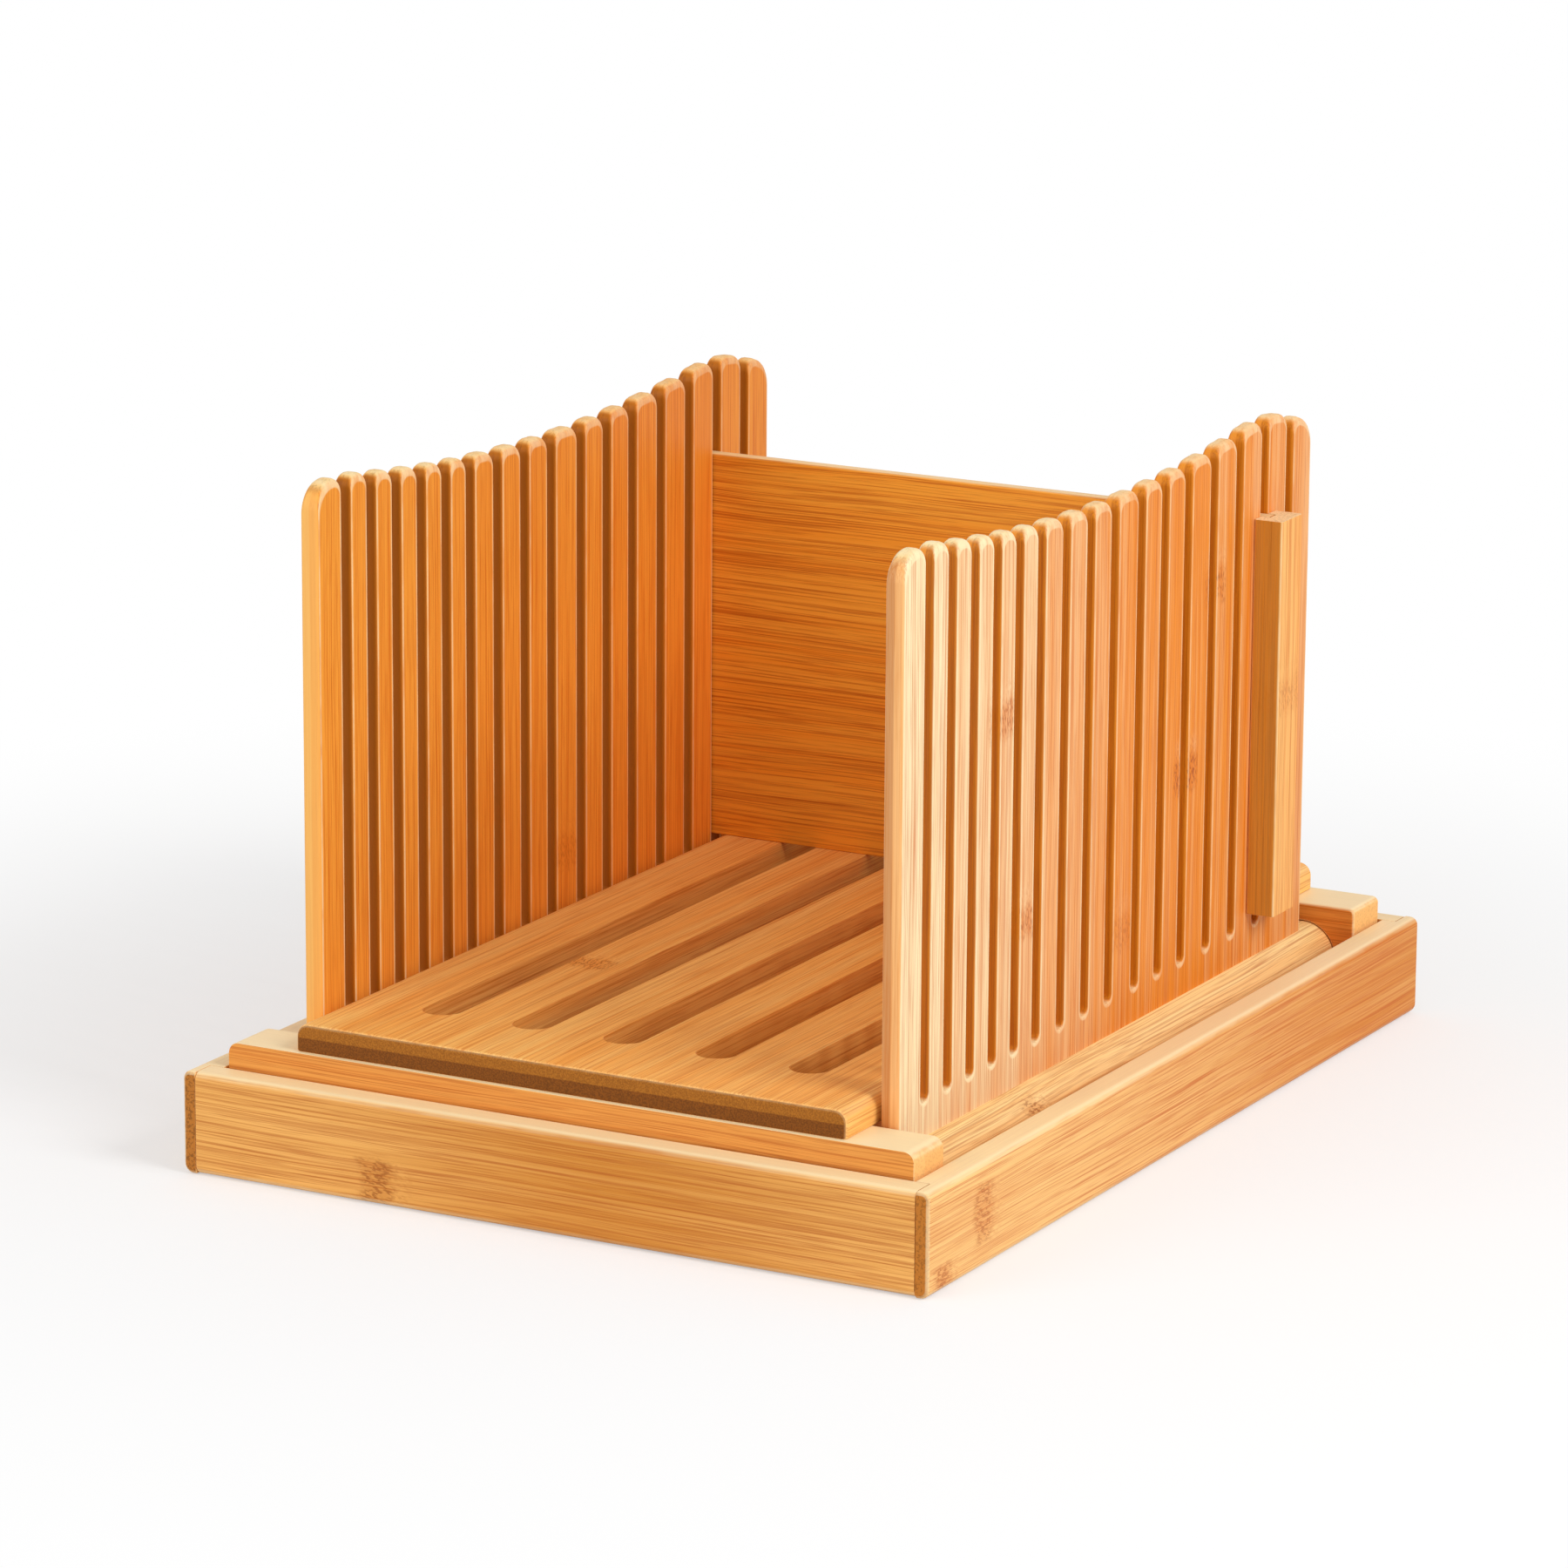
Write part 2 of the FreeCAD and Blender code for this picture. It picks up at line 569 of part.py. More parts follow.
def comb(label, side):
    """Comb panel: a tall board sawn into fingers with round tips."""
    body = new_body(label)
    pad(body, comb_outline(body, f"{label}_outline"), "comb_thickness", midplane=True)
    first_slot = 1
    for kind, run in itertools.groupby(FINGERS[:COMB_SLOTS]):
        count = len(list(run))
        slot = knife_slot(body, f"{label}_slot_{first_slot}", slot_from_front(first_slot))
        cut = pocket(body, slot, "2 * comb_thickness", midplane=True)
        if count > 1:
            repeat(body, cut, "H_Axis", count, f"{kind} + slot_width")
        first_slot += count

    length = number(COMB_LENGTH)
    above_slots = number(SLOT_FLOOR) + number("slot_width")

    def is_end(edge):
        return min(edge.CenterOfMass.y, length - edge.CenterOfMass.y) < 1e-4

    def is_tip(edge):
        return runs_along(edge, 0) and edge.CenterOfMass.z > above_slots

    tip_round = "min(tip_round; finger_thin * 0.45; finger_medium * 0.45; finger_thick * 0.45)"
    end_finger = f"min({FINGERS[0]}; {FINGERS[-1]})"
    corner_round = f"min(comb_corner_round; {end_finger} * 0.95 - {tip_round})"
    ease(body, "tip_round", "Fillet", tip_round, lambda edge: is_tip(edge) and not is_end(edge))
    ease(body, "corner_round", "Fillet", corner_round, lambda edge: is_tip(edge) and is_end(edge))
    return place(body, x=f"{side} * {ROD_PLACE}", y=COMB_FRONT, z=ROD_HEIGHT)


def batten(label, side):
    """Upright batten on a comb's outer face, grooved inside for the back plate's end."""
    body = new_body(label)
    outline = rectangle(body, f"{label}_plan", "XY_Plane", "batten_thickness", "batten_width")
    pad(body, outline, "plate_height")
    ease(body, "edge_round", "Fillet", "batten_round", lambda edge: runs_along(edge, 2))
    groove = rectangle(
        body, f"{label}_groove", "XY_Plane", "batten_groove", "slot_width",
        x="(batten_groove - batten_thickness) / 2",
    )
    pocket(body, groove, "plate_height", reverse=True)
    middle = f"{side} * ({COMB_OUTSIDE} + batten_thickness / 2)"
    return place(body, x=middle, y=PLATE_PLACE, z=BOARD_TOP, turn=0 if side > 0 else 180)


def back_plate(label):
    """Thin board across both combs that the end of the loaf leans on."""
    body = new_body(label)
    thickness = "(slot_width - 2 * plate_clearance)"
    plan = rectangle(body, f"{label}_plan", "XY_Plane", f"2 * {PLATE_REACH}", thickness)
    pad(body, plan, "plate_height")
    ease(
        body, "top_round", "Fillet", "plate_top_round",
        lambda edge: runs_along(edge, 0) and near(edge.CenterOfMass.z, "plate_height"),
    )
    return place(body, y=PLATE_PLACE, z=BOARD_TOP)


pieces = [
    tray_end_wall("tray_front_wall", -1),
    tray_end_wall("tray_back_wall", 1),
    tray_floor_panel("tray_floor_panel"),
    rail("front_rail", -1, "front_rail_round"),
    rail("back_rail", 1, "back_rail_round"),
    slotted_board("slotted_board"),
    board_screws("board_screws"),
    back_plate("back_plate"),
]
for side_name, side in SIDES.items():
    pieces.append(tray_side_wall(f"tray_{side_name}_wall", side))
    pieces.append(rod(f"{side_name}_rod", side))
    pieces.append(comb(f"{side_name}_comb", side))
    pieces.append(batten(f"{side_name}_batten", side))
doc.recompute()

for item in doc.Objects:
    if "Invalid" in item.State or "Error" in item.State:
        raise ValueError(f"{item.Name} failed: {item.State}")
for piece in pieces:
    if piece.Shape.isNull() or not piece.Shape.isValid():
        raise ValueError(f"{piece.Label} has no valid shape")

os.makedirs("parts", exist_ok=True)
for piece in pieces:
    piece.Shape.exportStep(f"parts/{piece.Label}.step")
    box = piece.Shape.BoundBox
    spans = ((box.XMin, box.XMax), (box.YMin, box.YMax), (box.ZMin, box.ZMax))
    reach = ", ".join(f"{axis} {low:.1f} to {high:.1f}" for axis, (low, high) in zip("xyz", spans))
    print(f"{piece.Label}: {len(piece.Shape.Solids)} solid(s), {piece.Shape.Volume / 1000:.1f} cm3, {reach}")
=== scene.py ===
# %% [markdown]
# # A bread slicer guide in bamboo
#
# The guide is a crumb tray with a lift-out base in it. Two combs stand on the base and guide the
# knife, and a loose back plate stops the loaf. The solids come in ready made, each in its own
# place, so this lesson is about what makes them look like bamboo: eased edges, strips glued side
# by side, fibres, knuckles and end grain, and then a plain studio round them.
#
# Blender counts in metres, and the guide was measured in millimetres. Lengths are written in
# millimetres here and multiplied by MM, unless a comment says metres.

import json
import math
from types import SimpleNamespace

import bpy
from mathutils import Matrix, Vector


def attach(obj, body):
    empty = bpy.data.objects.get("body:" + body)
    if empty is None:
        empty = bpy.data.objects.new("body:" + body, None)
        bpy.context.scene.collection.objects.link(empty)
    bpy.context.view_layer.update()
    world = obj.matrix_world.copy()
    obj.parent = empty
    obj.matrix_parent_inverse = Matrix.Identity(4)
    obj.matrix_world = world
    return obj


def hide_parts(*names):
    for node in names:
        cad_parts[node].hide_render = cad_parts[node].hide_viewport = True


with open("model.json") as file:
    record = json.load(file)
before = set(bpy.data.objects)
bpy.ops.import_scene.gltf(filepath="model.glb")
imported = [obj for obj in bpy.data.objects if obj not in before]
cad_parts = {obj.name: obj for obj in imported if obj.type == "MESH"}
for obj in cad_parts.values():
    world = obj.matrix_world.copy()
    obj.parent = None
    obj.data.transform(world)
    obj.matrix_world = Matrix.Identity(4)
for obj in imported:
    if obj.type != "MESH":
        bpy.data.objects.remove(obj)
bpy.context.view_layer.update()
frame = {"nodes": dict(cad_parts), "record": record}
nodes = frame["nodes"]
MM = 0.001


# %% [markdown]
# ## The camera
#
# A catalogue picture of such a guide is taken from far off with a long lens, so that its edges
# stay nearly parallel. The camera stands to the right and in front, a little above the combs.
# It could be aimed with a constraint, but a matrix of its three directions leaves nothing to
# chance: the first column points right, the second up and the third backwards.

# %% Make the camera
CAMERA_PLACE = Vector((1014.13, -1907.08, 640.46)) * MM
CAMERA_TURN, CAMERA_DROP, CAMERA_ROLL = (math.radians(angle) for angle in (28.35, 14.11, 0.35))
SENSOR = 36.0  # width of a full-frame sensor
LENS_PER_FRAME = 8317.74 / 1800  # focal length over the width of the frame
NEAR, FAR = 0.05, 50.0  # metres

ahead = Vector((
    -math.sin(CAMERA_TURN) * math.cos(CAMERA_DROP),
    math.cos(CAMERA_TURN) * math.cos(CAMERA_DROP),
    -math.sin(CAMERA_DROP),
))
level = Vector((math.cos(CAMERA_TURN), math.sin(CAMERA_TURN), 0.0))
upright = level.cross(ahead)
right = level * math.cos(CAMERA_ROLL) + upright * math.sin(CAMERA_ROLL)
up = upright * math.cos(CAMERA_ROLL) - level * math.sin(CAMERA_ROLL)

lens = bpy.data.cameras.new("catalogue_lens")
lens.sensor_width = SENSOR
lens.lens = SENSOR * LENS_PER_FRAME
lens.clip_start, lens.clip_end = NEAR, FAR
camera = bpy.data.objects.new("catalogue_camera", lens)
bpy.context.scene.collection.objects.link(camera)
turned = Matrix((right, up, -ahead)).transposed().to_4x4()
camera.matrix_world = Matrix.Translation(CAMERA_PLACE) @ turned
bpy.context.scene.camera = camera
print(f"lens {lens.lens:.1f} mm, {CAMERA_PLACE.length:.2f} m from the middle of the tray's foot")

# %% [markdown]
# ## Whole faces from loose triangles
#
# A solid comes in as triangles that don't share their corners, and a bevel would tear them
# apart. The solid itself has to stay as it is, so each wooden solid is copied. On the copy the
# corners are merged, and the triangles of a flat face become one face again. The outlines could
# be drawn anew by hand, but then the pieces might no longer fit one another.

# %% Copy a solid in whole faces
MERGE = 0.002
FLAT = math.radians(0.3)
SHARP = math.radians(35)


def whole_copy(node):
    """A copy of a solid in whole faces, with its sharp edges selected."""
    bpy.ops.object.select_all(action="DESELECT")
    solid = nodes[node]
    solid.select_set(True)
    bpy.context.view_layer.objects.active = solid
    bpy.ops.object.duplicate()
    piece = bpy.context.view_layer.objects.active
    for key in list(piece.keys()):
        del piece[key]  # these tags belong to the solid alone
    piece.parent = None
    piece.name = f"{node}_eased"
    bpy.ops.object.mode_set(mode="EDIT")
    bpy.ops.mesh.customdata_custom_splitnormals_clear()
    bpy.ops.mesh.select_all(action="SELECT")
    bpy.ops.mesh.remove_doubles(threshold=MERGE * MM)
    bpy.ops.mesh.dissolve_limited(angle_limit=FLAT)
    bpy.ops.mesh.select_all(action="DESELECT")
    bpy.ops.mesh.select_mode(type="EDGE")
    bpy.ops.mesh.edges_select_sharp(sharpness=SHARP)
    bpy.ops.object.mode_set(mode="OBJECT")
    return piece


print(f"an edge is sharp where its faces meet at more than {math.degrees(SHARP):.0f} degrees")

# %% [markdown]
# ## Easing the edges
#
# A joiner runs sandpaper along every edge, so no edge of the real guide is knife sharp, and each
# shows as a thin light line. A shader can fake a round edge, but only in its highlights. Here
# the sharp edges get a bevel weight, and a Bevel modifier takes a sliver off them.
#
# The tips of the combs are rounder than that: they are domes. There the bevel is wide where the
# outline runs level, and it narrows to the usual sliver as the outline turns down the finger.

# %% Bevel the selected edges
TIPS_ABOVE = 180.0
DOME_STEPS, EDGE_STEPS = 4, 2


def share_of_bevel(mesh, edge, least):
    """How much of the full bevel an edge gets: all on top of a tip, the least anywhere else."""
    start, end = (mesh.vertices[index].co for index in edge.vertices)
    if min(start.z, end.z) < TIPS_ABOVE * MM:
        return least
    run = end - start
    return least + (1 - least) * abs(run.y) / run.length


def bevel_selected(piece, ease, dome):
    """Bevels the selected edges by ease, and up to dome on the tips where there is a dome."""
    weights = piece.data.attributes.new("bevel_weight_edge", "FLOAT", "EDGE")
    for edge in piece.data.edges:
        if edge.select:
            share = share_of_bevel(piece.data, edge, ease / dome) if dome else 1.0
            weights.data[edge.index].value = share
    bevel = piece.modifiers.new("eased edges", "BEVEL")
    bevel.limit_method = "WEIGHT"
    bevel.width = max(ease, dome) * MM
    bevel.segments = DOME_STEPS if dome else EDGE_STEPS
    bevel.use_clamp_overlap = False
    bpy.ops.object.modifier_apply(modifier=bevel.name)


print(f"tips are what stands above {TIPS_ABOVE:.0f} mm")

# %% [markdown]
# ## Rims for painted highlights
#
# The edges of the combs get a painted highlight, pale rims a millimetre wide. A finish can't tell
# how far a point is from an edge. So the combs' big faces get a narrow inset, and an attribute
# says which points lie outside it. The finish reads the attribute later.

# %% Mark the rims of a comb
RIM = 0.9
BIG_FACE = 2000.0  # square millimetres


def mark_rims(piece):
    """Insets the big faces of a comb, and marks all outside the insets for a painted highlight."""
    for face in piece.data.polygons:
        face.select = face.area > BIG_FACE * MM ** 2
    print(piece.name, "big faces:", sum(face.select for face in piece.data.polygons))
    bpy.ops.object.mode_set(mode="EDIT")
    bpy.ops.mesh.select_mode(type="FACE")
    bpy.ops.mesh.inset(thickness=RIM * MM, depth=0, use_individual=False)
    bpy.ops.object.mode_set(mode="OBJECT")
    inner = {index for face in piece.data.polygons if face.select for index in face.vertices}
    rubbed = [0.0 if index in inner else 1.0 for index in range(len(piece.data.vertices))]
    marks = piece.data.attributes.new("rim_highlight_mask", "FLOAT", "POINT")
    marks.data.foreach_set("value", rubbed)


print(f"a rim is {RIM} mm wide")

# %% [markdown]
# ## The eased pieces
#
# Each eased copy takes the place of its solid and rides on the same moving body. Smooth shading
# would make the big faces look swollen beside a bevel. A Weighted Normal modifier keeps them
# flat. The rods, the screws and the tray's floor panel have no edge that shows, so they stay.

# %% Ease the bamboo
SMOOTH = math.radians(40)
BODY_OF = {
    node: body
    for body, names in frame["record"]["behaviour"]["bodies"].items()
    for node in names
}
EASES = {
    "tray_front_wall": 0.4, "tray_back_wall": 0.4, "tray_left_wall": 0.4, "tray_right_wall": 0.4,
    "front_rail": 0.4, "back_rail": 0.4, "slotted_board": 0.5,
    "left_batten": 0.4, "right_batten": 0.4, "back_plate": 0.4,
}
COMB_EASE, COMB_DOME = 0.7, 2.2


def eased_copy(node, ease, dome=0.0):
    """A copy of a solid with its sharp edges eased, in its place and on its body."""
    piece = whole_copy(node)
    bevel_selected(piece, ease, dome)
    if dome:
        mark_rims(piece)
    bpy.ops.object.shade_smooth_by_angle(angle=SMOOTH)
    normals = piece.modifiers.new("flat faces", "WEIGHTED_NORMAL")
    normals.keep_sharp = True
    bpy.ops.object.modifier_apply(modifier=normals.name)
    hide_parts(node)
    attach(piece, BODY_OF[node])
    return piece


pieces = {node: eased_copy(node, ease) for node, ease in EASES.items()}
for node in ("left_comb", "right_comb"):
    pieces[node] = eased_copy(node, COMB_EASE, COMB_DOME)
for node, solid in nodes.items():
    piece = pieces.setdefault(node, solid)
    if piece is not solid:
        print(f"{node}: {len(solid.data.polygons)} triangles, {len(piece.data.polygons)} faces")

# %% [markdown]
# ## Shader sums in plain Python
#
# Bamboo needs many small sums, such as which strip a point lies in and how near it is to a
# knuckle. Each sum could be wired by hand in the shader editor. Here a wire is a Python object,
# and writing a + b adds the Math node that adds them, so a finish reads like its own recipe.

# %% A wire


class Wire:
    """One output of a node. Arithmetic on it adds the Math nodes that work it out."""

    def __init__(self, finish, socket):
        self.finish = finish
        self.socket = socket

    def other(self, output):
        """Another output of the same node."""
        return Wire(self.finish, self.socket.node.outputs[output])

    def sum(self, operation, *values):
        """The Math node of that name, fed with these values."""
        return self.finish.node(
            "ShaderNodeMath", {"operation": operation}, dict(enumerate(values)))

    def __add__(self, value):
        return self.sum("ADD", self, value)

    def __radd__(self, value):
        return self.sum("ADD", value, self)

    def __sub__(self, value):
        return self.sum("SUBTRACT", self, value)

    def __rsub__(self, value):
        return self.sum("SUBTRACT", value, self)

    def __mul__(self, value):
        return self.sum("MULTIPLY", self, value)

    def __rmul__(self, value):
        return self.sum("MULTIPLY", value, self)

    def __truediv__(self, value):
        return self.sum("DIVIDE", self, value)

    def __abs__(self):
        return self.sum("ABSOLUTE", self)

    def floor(self):
        return self.sum("FLOOR", self)

    def fraction(self):
        return self.sum("FRACT", self)

    def at_least(self, value):
        return self.sum("MAXIMUM", self, value)

    def rise(self, low, high):
        """0 below low, 1 above high, a smooth step between. A high under low falls instead."""
        if high < low:
            return 1 - self.rise(high, low)
        settings = {"interpolation_type": "SMOOTHSTEP", "clamp": True}
        values = {"Value": self, "From Min": low, "From Max": high}
        return self.finish.node("ShaderNodeMapRange", settings, values)

    def within(self, low, high, soft):
        """1 between low and high, 0 outside them, with soft edges."""
        return self.rise(low - soft, low + soft) * self.rise(high + soft, high - soft)


print("a wire can do:", ", ".join(name for name in vars(Wire) if not name.startswith("_")))

# %% [markdown]
# ## A finish
#
# A finish is a material that starts empty. Its nodes could be added and linked line by line, as
# the editor does. One method does both here: it takes the kind of node, its settings and its
# inputs, and links those inputs that are wires.

# %% A finish that makes nodes
# a Mix node has sockets for numbers and vectors too, and these are the ones for colours
MIX_SHARE, MIX_FIRST, MIX_SECOND, MIXED = 0, 6, 7, 2


class Finish:
    """A material, and the methods that make its nodes."""

    def __init__(self, name):
        self.material = bpy.data.materials.new(name)
        self.material.use_nodes = True
        self.tree = self.material.node_tree
        self.tree.nodes.clear()

    def node(self, kind, settings=None, values=None, output=0):
        """A node of that kind, its settings first, then the values or wires of its inputs."""
        made = self.tree.nodes.new(kind)
        for name, setting in (settings or {}).items():
            setattr(made, name, setting)
        for name, value in (values or {}).items():
            if isinstance(value, Wire):
                self.tree.links.new(value.socket, made.inputs[name])
            else:
                made.inputs[name].default_value = value
        return Wire(self, made.outputs[output]) if made.outputs else None

    def place(self):
        """The place of a point in its piece, in metres."""
        return self.node("ShaderNodeTexCoord", None, None, "Object")

    def scaled(self, vector, scale):
        """A vector times a number."""
        return self.node(
            "ShaderNodeVectorMath", {"operation": "SCALE"}, {0: vector, "Scale": scale})

    def split(self, vector):
        """The parts of a vector, each an output by the name of its axis."""
        return self.node("ShaderNodeSeparateXYZ", None, {0: vector})

    def vector(self, x, y, z):
        """A vector from three wires or numbers."""
        return self.node("ShaderNodeCombineXYZ", None, {"X": x, "Y": y, "Z": z})

    def noise(self, place, detail=2.0, roughness=0.5):
        """Soft noise from 0 to 1, with lumps about one unit of the place across."""
        values = {"Vector": place, "Scale": 1.0, "Detail": detail, "Roughness": roughness}
        return self.node("ShaderNodeTexNoise", {"noise_dimensions": "3D"}, values)

    def chance(self, value):
        """A number from 0 to 1 that is the same wherever value is."""
        return self.node("ShaderNodeTexWhiteNoise", {"noise_dimensions": "1D"}, {"W": value})

    def mix(self, share, first, second):
        """A colour between two colours."""
        settings = {"data_type": "RGBA", "blend_type": "MIX", "clamp_factor": True}
        values = {MIX_SHARE: share, MIX_FIRST: first, MIX_SECOND: second}
        return self.node("ShaderNodeMix", settings, values, MIXED)


print("a finish can do:", ", ".join(name for name in vars(Finish) if not name.startswith("_")))

# %% [markdown]
# ## Colours
#
# A painter reads a colour off a chart as three numbers up to 255. A shader counts light instead,
# and half the number is far less than half the light. One helper turns the first into the
# second, so that every colour below can be written as on the chart.

# %% Tints
CHART_TOP = 255


def tint(red, green, blue):
    """A colour of the chart as the shader wants it, by the sRGB curve."""
    def linear(value):
        value /= CHART_TOP
        return value / 12.92 if value <= 0.04045 else ((value + 0.055) / 1.055) ** 2.4
    return (linear(red), linear(green), linear(blue), 1.0)


def darker(colour, share):
    """The same colour with only that share of its light."""
    return tuple(value * share for value in colour[:3]) + (1.0,)


# the pale of painted light, used for the painted top light and the painted edge highlights
PAINTED_LIGHT_TONE = tint(255, 234, 186)
print("a rubbed edge in the shader's numbers:", [round(value, 3) for value in PAINTED_LIGHT_TONE[:3]])

# %% [markdown]
# ## Bamboo: strips and plies
#
# A bamboo board is pressed from strips split out of the cane, and each strip keeps its own tone.
# A wood texture could be painted, but then it would have to be unwrapped onto every piece.
# Worked out from the place in the piece, the strips run through corner and slot as they do in
# the real board. Dividing the place by the strip's width and rounding it down counts the strips,
# and the count picks each strip's tone.

# %% Strips and plies
AXES = "XYZ"
WANDER = 3.0  # how far the strips wander sideways
WANDER_ALONG, WANDER_ACROSS = 0.009, 0.02  # bends per millimetre
STAGGER = 0.37  # of a strip, from one ply to the next
PLY_STEP = 7.3  # keeps the chances of one ply away from those of the next
CANE_STEP = 700  # how far along the cane the next strip may have been cut
SEAM = 0.3  # half the width of a glue line


def board_places(finish, along, across, strip, offset, ply, seed):
    """Where a point lies in its board, which way it faces, and in which strip and ply it is."""
    depth = (set(AXES) - {along, across}).pop()
    place = finish.place()
    split = finish.split(finish.scaled(place, 1 / MM))
    grain, side, down = (split.other(axis) for axis in (along, across, depth))
    bends = finish.vector(
        grain * WANDER_ALONG, side * WANDER_ACROSS, down * WANDER_ACROSS + seed)
    bent = side + (finish.noise(bends, 1.0) - 0.5) * WANDER
    layer = (down / ply + 0.5 + seed).floor()
    run = bent / strip + offset + layer * STAGGER
    tone = finish.chance(run.floor() + layer * PLY_STEP + seed)
    return SimpleNamespace(
        facing=finish.split(place.other("Normal")), split=split, seed=seed,
        grain=grain, side=side, down=down, bent=bent, layer=layer, tone=tone,
        cane=grain + tone * CANE_STEP,
        seam=abs(run.fraction() - 0.5).rise(0.5 - SEAM / strip, 0.5))


print(f"strips wander by {WANDER / 2} mm to either side")

# %% [markdown]
# ## Bamboo: fibres
#
# The fibres of the cane run along each strip. From near by they are streaks, with finer lines
# between them and short dark dashes, and from far off they make broad bands. They could be four
# painted layers. Here each is noise that is drawn out along the strip, so it never repeats.

# %% Fibres
# scales per millimetre along the fibres and across them, then the noise's detail and roughness
FIBRES = {
    "broad": (0.003, 0.22, 2.0, 0.5),
    "streak": (0.007, 1.0, 3.0, 0.65),
    "fine": (0.014, 2.0, 3.0, 0.65),
    "dash": (0.04, 1.9, 2.0, 0.5),
}
DASHES = (0.54, 0.66)  # only the peaks of their noise are dashes


def fibres(finish, at):
    """Broad bands, long streaks, fine lines and short dashes."""
    lines = SimpleNamespace()
    for name, (lengthwise, crosswise, detail, roughness) in FIBRES.items():
        down = at.down * crosswise + at.seed
        place = finish.vector(at.cane * lengthwise, at.bent * crosswise, down)
        setattr(lines, name, finish.noise(place, detail, roughness))
    lines.dash = lines.dash.rise(*DASHES)
    return lines


print("layers of fibre:", ", ".join(FIBRES))

# %% [markdown]
# ## Bamboo: knuckles
#
# Where the cane had a knuckle, its strip crosses a band of short dark flecks, with a pale patch
# of pores beside it. A knuckle could be a small decal laid on the face. Here it is a distance
# along the fibres from a given place, between the two sides of its strip, so it also wraps round
# the edge. Some noise keeps the band from being a straight bar.

# %% Knuckles
STRIP_SIDES = 1.6  # how softly a knuckle ends at the sides of its strip
UNEVEN = 9.0  # how far the band strays along the fibres
BAND_FROM, BAND_FULL = 7.5, 2.5  # distances from its middle
PATCH_FROM, PATCH_TO, PATCH_SOFT = 6.0, 11.0, 3.0
BEND_ALONG, BEND_ACROSS = 0.05, 0.3  # bends of the band per millimetre
FLECK_ALONG, FLECK_ACROSS, FLECK_SLANT = 0.5, 1.5, 0.2  # flecks per millimetre
FLECKS = (0.47, 0.6)


def knuckle_marks(finish, at, knuckles):
    """The dark bands of the knuckles, the pale patches beside them and the flecks in both."""
    bends = finish.vector(
        at.grain * BEND_ALONG, at.side * BEND_ACROSS, at.down * BEND_ACROSS + at.seed)
    uneven = finish.noise(bends)
    band = 0.0
    patch = 0.0
    for middle, low, high, strength in knuckles:
        reach = at.side.within(low, high, STRIP_SIDES) * strength
        step = at.grain + (uneven - 0.5) * UNEVEN - middle
        band = abs(step).rise(BAND_FROM, BAND_FULL) * reach + band
        patch = step.within(PATCH_FROM, PATCH_TO, PATCH_SOFT) * reach + patch
    slanted = at.side * FLECK_ACROSS + at.grain * FLECK_SLANT
    flecks = finish.vector(at.grain * FLECK_ALONG, slanted, at.down * FLECK_ACROSS)
    return SimpleNamespace(
        band=band, patch=patch, fleck=finish.noise(flecks, 1.0).rise(*FLECKS))


print(f"a knuckle's band is {2 * BAND_FROM} mm long")

# %% [markdown]
# ## Bamboo: the long grain
#
# Seen from the side, bamboo goes from a pale ground through a warm one to deep lines. Each strip
# has its own warmth, and some pieces get a painted falloff of light, pale at the lit end and warm
# at the other. One Mix node could blend two colours by one noise, which looks flat. Mixing the
# layers on top of each other, each with its own mask, gives the depth of the real thing.

# %% Colour of the long grain
BANDS = (0.3, 0.7)
STRIP_WARMTH, BAND_WARMTH, LEAST_WARMTH = 0.4, 0.45, 0.05
# how a painted falloff of light shifts a strip's warmth: the share it keeps, adds and takes
FALLOFF_KEEPS, FALLOFF_ADDS, FALLOFF_TAKES = 0.6, 0.75, 0.12
LIGHT_WARMTH = 0.8  # the light lines are a little paler than the ground
DASH_DEPTH, GLUE_DEPTH = 0.35, 0.4
PATCH_LIGHT, PORE_DEPTH = 0.4, 0.3
BAND_DEPTH, FLECK_DEPTH, FLECK_TONE = 0.4, 0.65, 0.7


def painted_falloff_share(at, painted_falloff):
    """How far a point is along a painted falloff of light, from the pale lit place to the warm one.
    """
    axis, pale_at, warm_at, *middle = painted_falloff
    place = at.split.other(axis)
    if middle:
        place = abs(place - middle[0])
    return place.rise(pale_at, warm_at)


